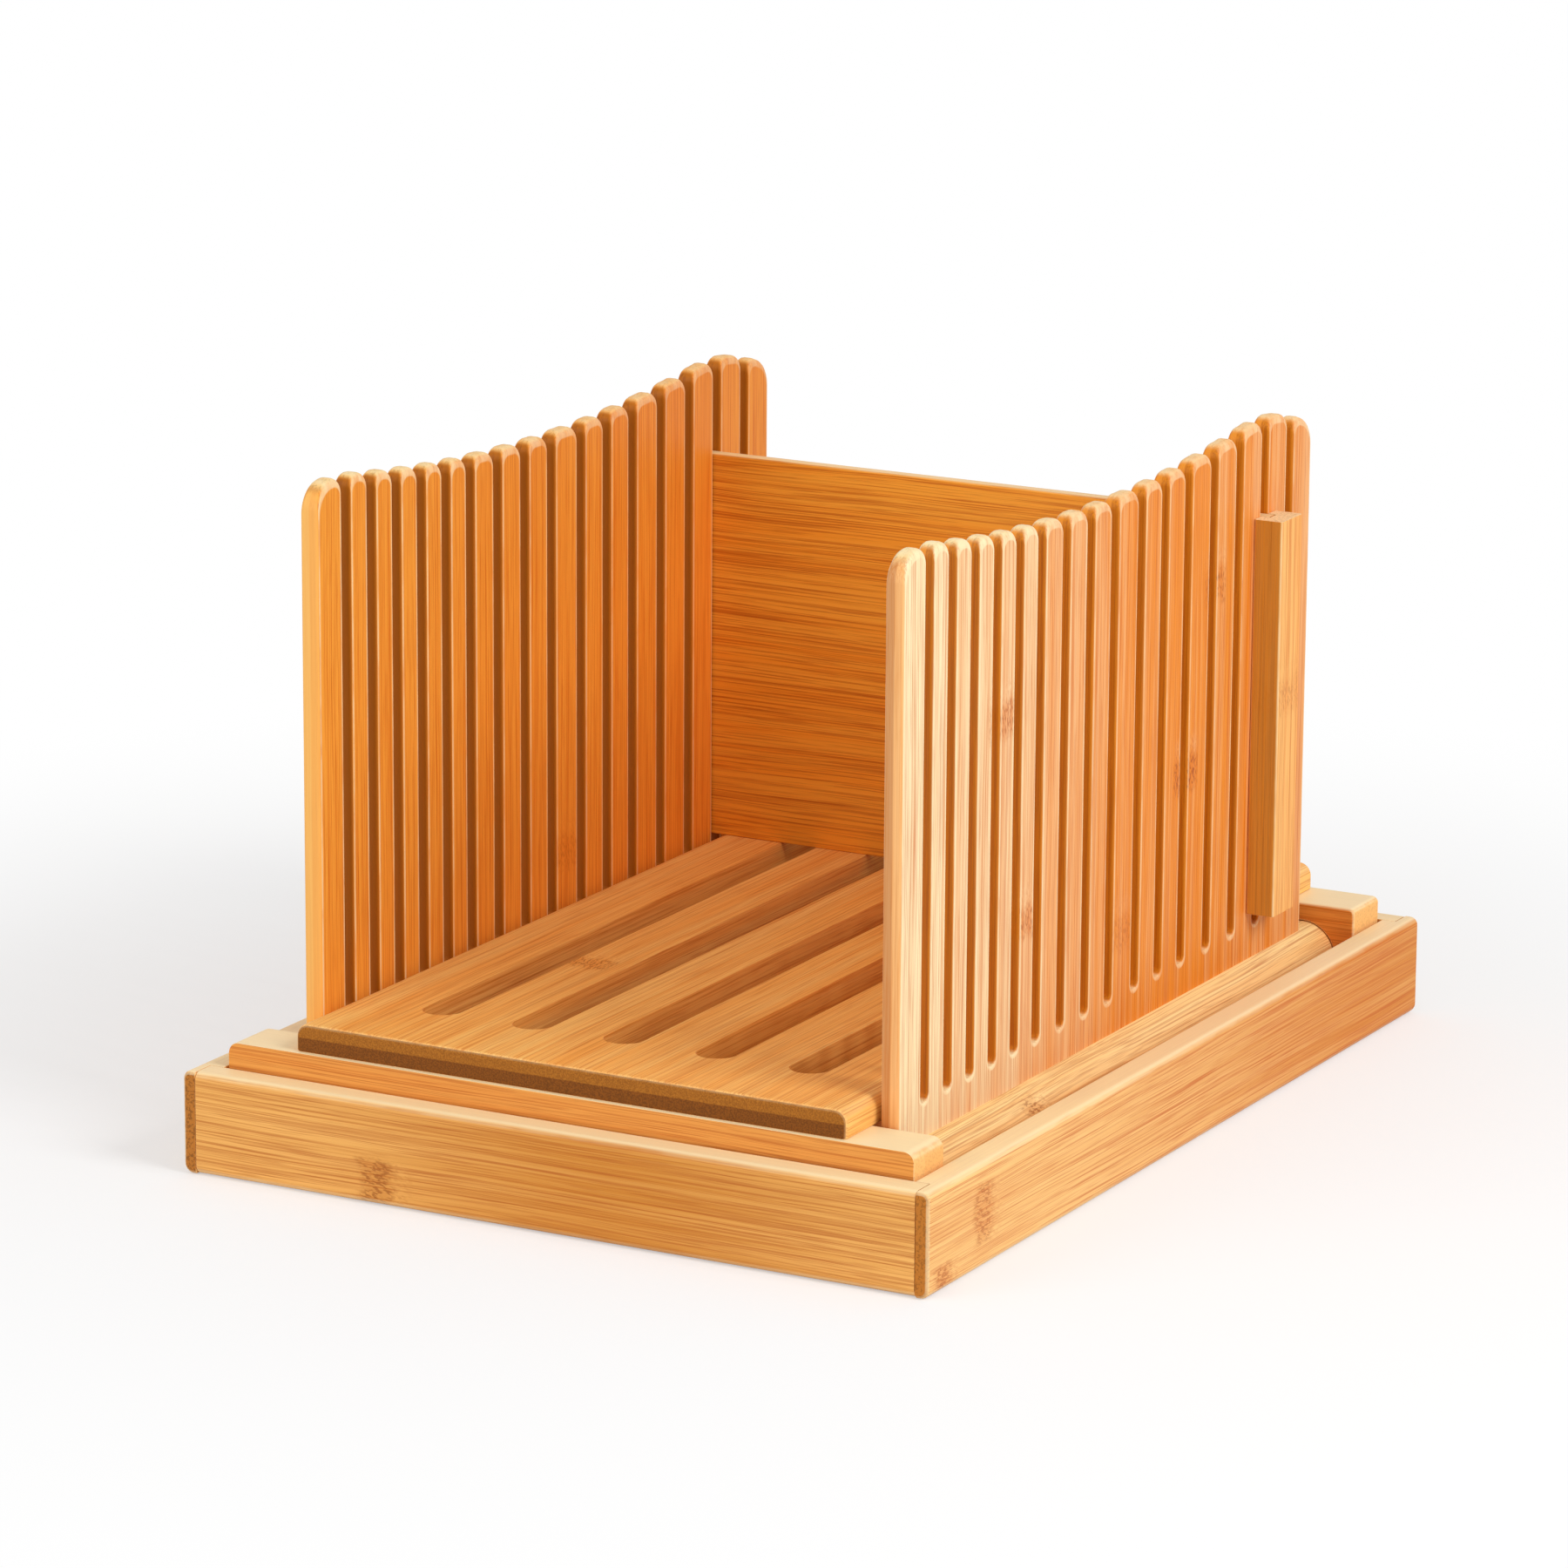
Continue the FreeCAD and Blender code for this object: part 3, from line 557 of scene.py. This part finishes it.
def long_grain(finish, at, lines, marks, colours, falloff_dimming, streaks):
    """The colour along the fibres: ground, streaks, lines, dashes, glue lines and knuckles."""
    pale, warm, deep = colours
    bands = lines.broad.rise(*BANDS)
    warmth = at.tone * STRIP_WARMTH + bands * BAND_WARMTH + LEAST_WARMTH
    # a painted falloff of light moves the ground from pale at the lit end to warm at the other
    if falloff_dimming:
        warmth = warmth * FALLOFF_KEEPS + falloff_dimming * FALLOFF_ADDS - FALLOFF_TAKES
    colour = finish.mix(warmth, pale, warm)
    light = finish.mix(warmth * LIGHT_WARMTH, pale, warm)
    # the lines, where their mask begins and where it is full, its strength, and its colour
    for line, begins, full, strength, layer in (
        (lines.streak, 0.50, 0.66, 0.45, deep),
        (lines.streak, 0.50, 0.36, 0.40, light),
        (lines.fine, 0.48, 0.64, 0.55, deep),
        (lines.fine, 0.47, 0.33, 0.70, light),
    ):
        colour = finish.mix(line.rise(begins, full) * strength * streaks, colour, layer)
    colour = finish.mix(lines.dash * DASH_DEPTH * streaks, colour, deep)
    colour = finish.mix(at.seam * GLUE_DEPTH, colour, deep)
    if marks:
        fleck_tone = darker(deep, FLECK_TONE)
        colour = finish.mix(marks.patch * PATCH_LIGHT, colour, light)
        colour = finish.mix(marks.patch * marks.fleck * PORE_DEPTH, colour, deep)
        colour = finish.mix(marks.band * BAND_DEPTH, colour, finish.mix(0.5, warm, deep))
        colour = finish.mix(marks.band * marks.fleck * FLECK_DEPTH, colour, fleck_tone)
    return colour


print("the long grain is mixed in up to eleven layers")

# %% [markdown]
# ## Bamboo: the end grain
#
# Sawn across, the fibres show as rows of dark dots on a duller ground, and one ply differs from
# the next. The end faces could have a material of their own, but a rounded edge runs from one
# kind of face into the other. So the colour changes by the way the face points.

# %% Colour of the end grain
DOTS_ACROSS, DOTS_ALONG = 1.3, 0.05  # dots per millimetre, on the sawn face and into it
DOTS = (0.48, 0.62)
DOT_ROUGHNESS = 0.6
DOT_TO_GROUND = 0.42  # how much light a dot keeps
# the second is how much a painted falloff of light warms the end grain
PLY_WARMTH, FALLOFF_WARMTH = 0.3, 0.45


def end_grain(finish, at, end, warm, falloff_dimming, dots):
    """The colour of a face sawn across the fibres."""
    place = finish.vector(
        at.side * DOTS_ACROSS, at.down * DOTS_ACROSS, at.grain * DOTS_ALONG + at.seed)
    pores = finish.noise(place, roughness=DOT_ROUGHNESS).rise(*DOTS)
    sawn = finish.mix(pores * dots, end, darker(end, DOT_TO_GROUND))
    warmth = finish.chance(at.layer + at.seed) * PLY_WARMTH + falloff_dimming * FALLOFF_WARMTH
    return finish.mix(warmth, sawn, warm)


print(f"a dot keeps {DOT_TO_GROUND:.0%} of the light of its ground")

# %% [markdown]
# ## Bamboo: painted edge highlights
#
# The eased edges get a painted highlight, pale lines where they would catch the light. On most
# pieces the rounded edge is found by its facing: it points along none of the three axes. The combs
# have wider rims, which were marked above. A line of even width would look painted on, so noise
# makes it patchy.

# %% Painted edge highlights
# masks of the facing: 1 is straight along an axis, and 0 is square to it
ROUNDED = (0.97, 0.85)
OFF_THE_SLOT_WALLS = (0.6, 0.35)
MARKED = (0.2, 0.85)
# the painted edge highlight comes in patches
HIGHLIGHT_ALONG, HIGHLIGHT_ACROSS = 0.08, 0.3  # patches per millimetre
PATCHES = (0.3, 0.6)
# the least share of the painted edge highlight, and how much a painted falloff takes off at its
# warm end
LEAST_HIGHLIGHT = 0.45
FALLOFF_SPARES = 0.5


def worn_rim(finish, at, marked):
    """How much painted edge highlight a point gets, from the marked rims or else from the facing.
    """
    if marked:
        attribute = finish.node("ShaderNodeAttribute", {"attribute_name": "rim_highlight_mask"}, None, "Fac")
        return attribute.rise(*MARKED) * abs(at.facing.other("Y")).rise(*OFF_THE_SLOT_WALLS)
    x, y, z = (abs(at.facing.other(axis)) for axis in AXES)
    return x.at_least(y).at_least(z).rise(*ROUNDED)


def rubbed_edges(finish, at, colour, rim, falloff_dimming, worn):
    """The colour with patchy painted highlights on the edges, fewer where painted falloff is warm.
    """
    place = finish.vector(at.grain * HIGHLIGHT_ALONG, at.side * HIGHLIGHT_ACROSS, at.down * HIGHLIGHT_ACROSS)
    patchy = LEAST_HIGHLIGHT + finish.noise(place).rise(*PATCHES) * (1 - LEAST_HIGHLIGHT)
    spared = 1 - falloff_dimming * FALLOFF_SPARES
    return finish.mix(rim * patchy * spared * worn, colour, PAINTED_LIGHT_TONE)


# the painted edge highlight is patchy, and this much of it is left at its weakest
print(f"the least worn spot of a rim still has {LEAST_HIGHLIGHT:.0%} of its wear")

# %% [markdown]
# ## Bamboo: the whole recipe
#
# The recipe puts the parts together. It could be one material for all, but the real pieces were
# cut from different boards, in different directions. So it takes the two axes of the board, four
# colours and a seed, and makes one material for each piece. The fibres also make the skin a
# little uneven and its shine patchy, as a sanded and oiled surface is.

# %% The recipe
# the faces that look up get painted top light
LOOKS_UP = (0.6, 0.95)
LOOKS_ALONG = (0.55, 0.85)
SHEEN = 0.22  # oiled bamboo is duller than the usual 0.5
ROUGHNESS, FIBRE_ROUGHNESS, SAWN_ROUGHNESS = 0.42, 0.15, 0.15
BUMP_STRENGTH, BUMP_HEIGHT = 0.3, 0.12
FINE_HEIGHT, STREAK_HEIGHT, DASH_DIP, FLECK_DIP = 0.6, 0.4, 0.35, 0.5  # shares of the bump


def bamboo(name, along, across, colours, strip=17.0, offset=0.0, ply=3.0, seed=0.0,
           knuckles=(), streaks=1.0, painted_falloff=None, rubbed=0.0, worn=0.0, rims=False, dots=0.5,
           shade=None):
    """Laminated bamboo: fibres run along one axis, and strips lie side by side across another.

    The colours are pale, warm, deep and end grain. A knuckle is its middle along the fibres, the
    strip's two sides and a strength. The falloff is painted light: an axis with two places on it,
    the first pale where more light falls and the other warm, or with two distances from a third
    place. The painted top light is how much paler the faces that look up are painted. The edge
    highlight is a painted highlight of the same kind on the rounded edges, or on the marked rims
    where there are rims. Dots is how dark the end grain's dots are. Shade may recolour some faces.
    """
    finish = Finish(name)
    pale, warm, deep, end = colours
    at = board_places(finish, along, across, strip, offset, ply, seed)
    lines = fibres(finish, at)
    marks = knuckle_marks(finish, at, knuckles) if knuckles else None
    # the share of a painted falloff of light at each point, 0 where no falloff is painted
    falloff_dimming = painted_falloff_share(at, painted_falloff) if painted_falloff else 0.0
    colour = long_grain(finish, at, lines, marks, (pale, warm, deep), falloff_dimming, streaks)
    # painted top light: the faces that look up are painted paler
    if rubbed:
        colour = finish.mix(at.facing.other("Z").rise(*LOOKS_UP) * rubbed, colour, PAINTED_LIGHT_TONE)
    sawn_across = abs(at.facing.other(along)).rise(*LOOKS_ALONG)
    colour = finish.mix(sawn_across, colour, end_grain(finish, at, end, warm, falloff_dimming, dots))
    if shade:
        colour = shade(finish, colour, at, lines.fine)
    # painted highlights on the rounded edges, or on the marked rims
    if worn:
        colour = rubbed_edges(finish, at, colour, worn_rim(finish, at, rims), falloff_dimming, worn)
    rough = ROUGHNESS + lines.fine * FIBRE_ROUGHNESS + sawn_across * SAWN_ROUGHNESS
    height = lines.fine * FINE_HEIGHT + lines.streak * STREAK_HEIGHT - lines.dash * DASH_DIP
    if marks:
        height = height - marks.band * marks.fleck * FLECK_DIP
    bump = finish.node("ShaderNodeBump", None, {
        "Strength": BUMP_STRENGTH, "Distance": BUMP_HEIGHT * MM, "Height": height})
    skin = finish.node("ShaderNodeBsdfPrincipled", None, {
        "Base Color": colour, "Roughness": rough, "Specular IOR Level": SHEEN, "Normal": bump})
    finish.node("ShaderNodeOutputMaterial", None, {"Surface": skin})
    return finish.material


def wear(node, material):
    """Puts a material on a piece."""
    pieces[node].material_slots[0].material = material
    print(f"{node} wears {material.name}, {len(material.node_tree.nodes)} nodes")


print("pieces to finish:", len(pieces))

# %% [markdown]
# ## The tray
#
# The tray is four walls round a thin floor. The front and back walls are let into the side
# walls, whose sawn ends show as dark strips at the corners. All four walls could share one
# material, but then they would have the same strips. The front wall gets painted light, deepest
# near its middle and paler to both ends, and the side walls a painted falloff, warmer to the back.

# %% Finish the tray
TRAY_SIDE = (tint(255, 204, 130), tint(218, 132, 36), tint(204, 96, 24), tint(192, 119, 42))
TRAY_END = (tint(255, 192, 106), tint(216, 140, 50), tint(184, 96, 26), tint(176, 104, 34))
# painted light: each falloff is an axis, its pale place, its warm place, and for the front a middle
FRONT_LIGHT_FALLOFF = ("X", 115, 0, 22)
SIDE_LIGHT_FALLOFF = ("Y", -120, 150)
# the walls get painted top light and painted highlights on their edges
WALL = {"ply": 30, "rubbed": 0.8, "worn": 0.4, "dots": 0.75}

wear("tray_front_wall", bamboo(
    "bamboo tray front", "X", "Z", TRAY_END, strip=16.5, offset=0.1, seed=1,
    knuckles=[(-58, -1, 14, 1)], painted_falloff=FRONT_LIGHT_FALLOFF, **WALL))
wear("tray_back_wall", bamboo(
    "bamboo tray back", "X", "Z", TRAY_END, strip=16.5, offset=0.1, seed=2,
    knuckles=[(38, -1, 15.5, 1)], **WALL))
wear("tray_right_wall", bamboo(
    "bamboo tray right", "Y", "Z", TRAY_SIDE, strip=17, offset=0.5, seed=3,
    knuckles=[(-137, 8, 25.5, 0.75), (-163, -1, 8, 0.9)], painted_falloff=SIDE_LIGHT_FALLOFF, **WALL))
wear("tray_left_wall", bamboo(
    "bamboo tray left", "Y", "Z", TRAY_SIDE, strip=17, offset=0.5, seed=4,
    knuckles=[(52, 8, 25.5, 1), (-88, -1, 8, 1)], painted_falloff=SIDE_LIGHT_FALLOFF, **WALL))
wear("tray_floor_panel", bamboo(
    "bamboo tray floor", "Y", "X", TRAY_SIDE, strip=20, ply=30, seed=5,
    knuckles=[(-40, -100, -80, 1), (90, -20, 0, 1), (20, 60, 80, 1)]))

# %% [markdown]
# ## The base
#
# The base is a slotted board on two rails. The rails' tops get painted top light, nearly cream.
# The board's front edge shows two plies, the lower one nearly brown. That edge could be a second
# material slot, but the strips would break off at it, so a small shade recolours the faces that
# look forward or back.

# %% Finish the base
RAIL = (tint(246, 176, 88), tint(230, 132, 42), tint(186, 92, 20), tint(255, 198, 124))
BOARD = (tint(255, 206, 122), tint(250, 168, 72), tint(206, 112, 32), tint(168, 104, 38))
BOARD_JOINT = (43.6, 44.0)  # heights between which the lower ply gives way to the upper
BOARD_END = (0.75, 0.95)  # a mask of the facing
BOARD_LINES = (0.4, 0.6)
# the rails get painted top light and painted highlights on their edges
RAIL_LOOK = {"strip": 17, "ply": 12.4, "rubbed": 0.9, "worn": 0.5, "dots": 0.25}


def board_ends(finish, colour, at, fine):
    """The board is two plies thick, and its lower ply is cut from darker cane."""
    upper = at.split.other("Z").rise(*BOARD_JOINT)
    ground = finish.mix(upper, tint(140, 78, 11), tint(180, 112, 30))
    line = finish.mix(upper, tint(114, 62, 6), tint(152, 90, 20))
    ply = finish.mix(fine.rise(*BOARD_LINES), ground, line)
    return finish.mix(abs(at.facing.other("Y")).rise(*BOARD_END), colour, ply)


wear("front_rail", bamboo("bamboo front rail", "X", "Z", RAIL, seed=6, **RAIL_LOOK))
wear("back_rail", bamboo(
    "bamboo back rail", "X", "Z", RAIL, seed=7, knuckles=[(-30, 5, 22, 1)], **RAIL_LOOK))
# the board gets a faint painted highlight on its edges
wear("slotted_board", bamboo(
    "bamboo slotted board", "Y", "X", BOARD, strip=21, ply=30, seed=8, worn=0.15,
    knuckles=[(-60, -63, -42, 1), (105, 0, 21, 1), (30, 63, 84, 1)], shade=board_ends))

# %% [markdown]
# ## The rods
#
# The two rods are the hinges of the combs. They are turned from glued bamboo, so strips and
# plies are narrow and run out along the round. Wrapping a flat texture round a rod would bend
# the strips with it. The recipe cuts straight through the rod instead, as the lathe does.

# %% Finish the rods
ROD = (tint(255, 228, 162), tint(252, 190, 112), tint(186, 104, 42), tint(190, 125, 60))
for count, side in enumerate(("left", "right")):
    wear(f"{side}_rod", bamboo(
        f"bamboo {side} rod", "Y", "Z", ROD, strip=7, offset=0.3, ply=7, seed=9 + count,
        knuckles=[(-69, 18, 30, 1)], streaks=0.9))

# %% [markdown]
# ## The combs
#
# The combs are upright boards, sawn into fingers. The right one has a painted falloff of light,
# from nearly cream in front to honey at the back, and the left one is honey with a painted falloff
# of its own, paler in front. The walls of the slots get painted shade, dark brown, with a tone for
# each ply, and that dark brown is what makes the fingers stand out. The walls could be picked by
# hand and given a dark slot, but there are dozens. They all look along Y and lie between the first
# slot and the last, which a shade can work out.

# %% The painted shade of a comb's slots, and its end faces
FIRST_SLOT, LAST_SLOT = -140, 131
COMB_PLY = 97.0  # where the inner ply of a comb meets the outer, from the middle of the guide
PLY_LINE = 0.3
SLOT_SOFT = 1.0
SLOT_WALL = (0.5, 0.85)  # a mask of the facing
SAWN_LINES = (0.35, 0.65)
# how much of the painted slot shade covers a wall, and how much of the inner ply's tone it takes
SLOT_SHADE, INNER_SLOT_SHADE = 0.95, 0.7
END_FACE, INNER_END, END_LINES = 0.8, 0.9, 0.25


def slot_shade_and_ends(slot_shades, ends):
    """A shade that paints the slots' shade onto their walls and colours the comb's two end faces.
    """
    def shade(finish, colour, at, fine):
        inner_ply = abs(at.split.other("X")).rise(COMB_PLY + PLY_LINE, COMB_PLY - PLY_LINE)
        sawn = abs(at.facing.other("Y")).rise(*SLOT_WALL)
        inside = at.split.other("Y").within(FIRST_SLOT, LAST_SLOT, SLOT_SOFT)
        grain = fine.rise(*SAWN_LINES)
        # the painted shade of the slots, streaked by the grain and toned by the ply
        shade_painted = finish.mix(grain, slot_shades[0], slot_shades[1])
        shade_painted = finish.mix(inner_ply * INNER_SLOT_SHADE, shade_painted, slot_shades[2])
        colour = finish.mix(sawn * inside * SLOT_SHADE, colour, shade_painted)
        end_face = finish.mix(inner_ply * INNER_END, ends[0], ends[1])
        end_face = finish.mix(grain * END_LINES, end_face, ends[1])
        return finish.mix(sawn * (1 - inside) * END_FACE, colour, end_face)
    return shade


# the slot walls in this span get painted shade
print(f"slots from Y {FIRST_SLOT} to {LAST_SLOT} mm are scorched")

# %% Finish the combs
COMB = {"strip": 20, "offset": 0.2, "ply": 3, "rims": True}
LOW_KNUCKLE = (63, -4, 12, 0.5)
# painted light and shade on a comb: shade in the slots, a falloff from a pale front, edge
# highlights
LEFT_COMB = dict(
    colours=(tint(250, 170, 66), tint(238, 144, 46), tint(202, 94, 12), tint(255, 208, 130)),
    shade=slot_shade_and_ends(
        (tint(156, 83, 3), tint(190, 106, 5), tint(192, 108, 6)),
        (tint(255, 196, 108), tint(255, 182, 92))),
    seed=11, painted_falloff=("Y", -170, 90), worn=0.7, knuckles=[LOW_KNUCKLE])
RIGHT_COMB = dict(
    colours=(tint(255, 234, 186), tint(240, 141, 32), tint(206, 98, 18), tint(255, 222, 160)),
    shade=slot_shade_and_ends(
        (tint(196, 110, 8), tint(226, 138, 24), tint(246, 158, 50)),
        (tint(255, 184, 108), tint(204, 124, 52))),
    seed=12, painted_falloff=("Y", -128, 15), worn=0.9,
    knuckles=[(103, 38, 54, 1.5), (146, -88, -72, 0.9), (82, -72, -56, 0.9), (159, 58, 72, 0.9),
              LOW_KNUCKLE])

wear("left_comb", bamboo("bamboo left comb", "Z", "Y", **LEFT_COMB, **COMB))
wear("right_comb", bamboo("bamboo right comb", "Z", "Y", **RIGHT_COMB, **COMB))

# %% [markdown]
# ## The battens
#
# A square batten runs up the outside of each comb and holds an end of the back plate. Its outer
# face is light, and the faces to its front and back are much darker. As with the board, a shade
# recolours the faces that look one way, so that the grain goes on round the corner.

# %% Finish the battens
BATTEN = (tint(255, 206, 126), tint(252, 164, 76), tint(208, 112, 34), tint(255, 226, 176))
BATTEN_SIDE = (0.6, 0.9)  # a mask of the facing
DARK_EDGE = 0.8


def dark_edge(finish, colour, at, fine):
    """The faces of a batten that look forward and back are darker than the outer one."""
    sideways = abs(at.facing.other("Y")).rise(*BATTEN_SIDE)
    dark = finish.mix(fine.rise(*SAWN_LINES), tint(184, 118, 24), tint(220, 150, 46))
    return finish.mix(sideways * DARK_EDGE, colour, dark)


# the battens get painted highlights on their edges
for count, side in enumerate(("left", "right")):
    wear(f"{side}_batten", bamboo(
        f"bamboo {side} batten", "Z", "Y", BATTEN, strip=17, ply=40, seed=13 + count,
        knuckles=[(118, 92, 108, 0.5)], worn=0.5, shade=dark_edge))

# %% [markdown]
# ## The back plate
#
# The back plate is a thin board that stands in two slots and stops the loaf. It is the deepest
# in tone and has the strongest streaks, which run level. More contrast could come from a darker
# deep colour alone, but that would darken the whole plate, so the streaks themselves are raised.

# %% Finish the back plate
PLATE = (tint(254, 184, 66), tint(250, 155, 36), tint(186, 90, 8), tint(206, 124, 46))
# the plate's top gets painted top light, and its edges a painted highlight
wear("back_plate", bamboo(
    "bamboo back plate", "X", "Z", PLATE, strip=18, ply=30, seed=15, streaks=1.1, rubbed=0.6,
    worn=0.25))

# %% [markdown]
# ## The screws
#
# Steel screws hold the board to the rails from below. They hardly show, so their finish is
# short: bare metal, with a fine grain that makes its tone and its shine uneven.

# %% Finish the screws
STEEL_GRAIN = 4000.0  # per metre
STEEL_ROUGHNESS = 0.25
steel = Finish("screw steel")
steel_grain = steel.noise(steel.scaled(steel.place(), STEEL_GRAIN), 3.0)
steel_skin = steel.node("ShaderNodeBsdfPrincipled", None, {
    "Base Color": steel.mix(steel_grain, tint(150, 148, 144), tint(196, 194, 190)),
    "Roughness": STEEL_ROUGHNESS + steel_grain * STEEL_ROUGHNESS, "Metallic": 1.0})
steel.node("ShaderNodeOutputMaterial", None, {"Surface": steel_skin})
wear("board_screws", steel.material)

# %% [markdown]
# ## The floor
#
# The guide stands on a plain pale floor. For the camera it melts into the white background, yet
# it has to carry the guide's shadow and must not throw extra light on it. A white floor under
# strong lamps would do both wrong. So the floor is dull and pale for the light that falls on
# it, and some white glow is mixed in for the rays of the camera, more of it farther out.

# %% Make the floor
FLOOR_RADIUS = 6.0  # metres
FLOOR_DROP = 0.2  # keeps it clear of the tray's underside
NEAR_GLOW = 0.45
GLOW_FROM, GLOW_FULL = 0.2, 0.55  # metres from the middle


def seen_rays(finish):
    """1 for a ray that the camera sees, straight or by way of a mirror or a glass."""
    ray = finish.node("ShaderNodeLightPath")
    return ray.at_least(ray.other("Is Glossy Ray")).at_least(ray.other("Is Transmission Ray"))


bpy.ops.object.select_all(action="DESELECT")
bpy.ops.mesh.primitive_circle_add(
    vertices=96, radius=FLOOR_RADIUS, fill_type="NGON", location=(0, 0, -FLOOR_DROP * MM))
floor = bpy.context.view_layer.objects.active
floor.name = "studio_floor"
floor_finish = Finish("pale floor")
seen = seen_rays(floor_finish)
floor_colour = floor_finish.mix(seen, tint(226, 224, 220), tint(255, 255, 255))
distance = floor_finish.node(
    "ShaderNodeVectorMath", {"operation": "LENGTH"}, {0: floor_finish.place()}, "Value")
share = (NEAR_GLOW + distance.rise(GLOW_FROM, GLOW_FULL) * (1 - NEAR_GLOW)) * seen
dull = floor_finish.node("ShaderNodeBsdfDiffuse", None, {"Color": floor_colour})
glow = floor_finish.node("ShaderNodeEmission", None, {"Color": (1, 1, 1, 1), "Strength": 1.0})
surface = floor_finish.node("ShaderNodeMixShader", None, {0: share, 1: dull, 2: glow})
floor_finish.node("ShaderNodeOutputMaterial", None, {"Surface": surface})
floor.data.materials.append(floor_finish.material)
print(f"a floor of {2 * FLOOR_RADIUS:.0f} m across, {FLOOR_DROP} mm below the tray")

# %% [markdown]
# ## The background
#
# The background is plain white to the camera. A white sky would also light the guide from all
# sides and flatten it. The world's strength therefore depends on the ray: full for the rays that
# are seen, and about half for the light that reaches the guide.

# %% Make the background
SKY_LIGHT = 0.55
world = bpy.data.worlds.new("studio")
bpy.context.scene.world = world
world.use_nodes = True
world.node_tree.nodes.clear()


class Surround(Finish):
    """The world takes nodes in the same way as a material."""

    def __init__(self, world):
        self.tree = world.node_tree


surround = Surround(world)
strength = seen_rays(surround) * (1 - SKY_LIGHT) + SKY_LIGHT
sky = surround.node(
    "ShaderNodeBackground", None, {"Color": (1, 1, 1, 1), "Strength": strength})
surround.node("ShaderNodeOutputWorld", None, {"Surface": sky})
print(f"the sky lights the guide at {SKY_LIGHT:.0%} of the white that is seen")

# %% [markdown]
# ## The lamps
#
# Two soft boxes light the guide, as in a small studio. The key light stands high on the right,
# and makes the right comb and the right wall the brightest faces. The fill stands low in front
# on the left, and keeps the front wall from going dull. A single sun would be simpler, but its
# shadows would be hard. Wide area lamps give soft ones.

# %% Make the lamps
LAMPS_FACE = (0, 0, 0.08)  # metres, a point inside the guide


def lamp(name, place, size, watts):
    """A square soft box, in metres, turned to face the guide."""
    light = bpy.data.lights.new(name, "AREA")
    light.size = size
    light.energy = watts
    holder = bpy.data.objects.new(name, light)
    bpy.context.scene.collection.objects.link(holder)
    aim = Vector(LAMPS_FACE) - Vector(place)
    turn = aim.to_track_quat("-Z", "Y").to_matrix().to_4x4()
    holder.matrix_world = Matrix.Translation(place) @ turn
    print(f"{name}: {watts} W at {aim.length:.2f} m, {size} m wide")


lamp("key", (1.7, -0.35, 1.3), 0.9, 23)
lamp("fill", (-0.9, -1.9, 0.55), 1.4, 15)

# %% [markdown]
# ## The view
#
# Blender can bend the tones of a picture as film does, which greys white paper and dulls warm
# colours. A catalogue picture is meant to keep its colours, so the view stays plain.

# %% Set the view
bpy.context.scene.view_settings.view_transform = "Standard"
print("view:", bpy.context.scene.view_settings.view_transform)
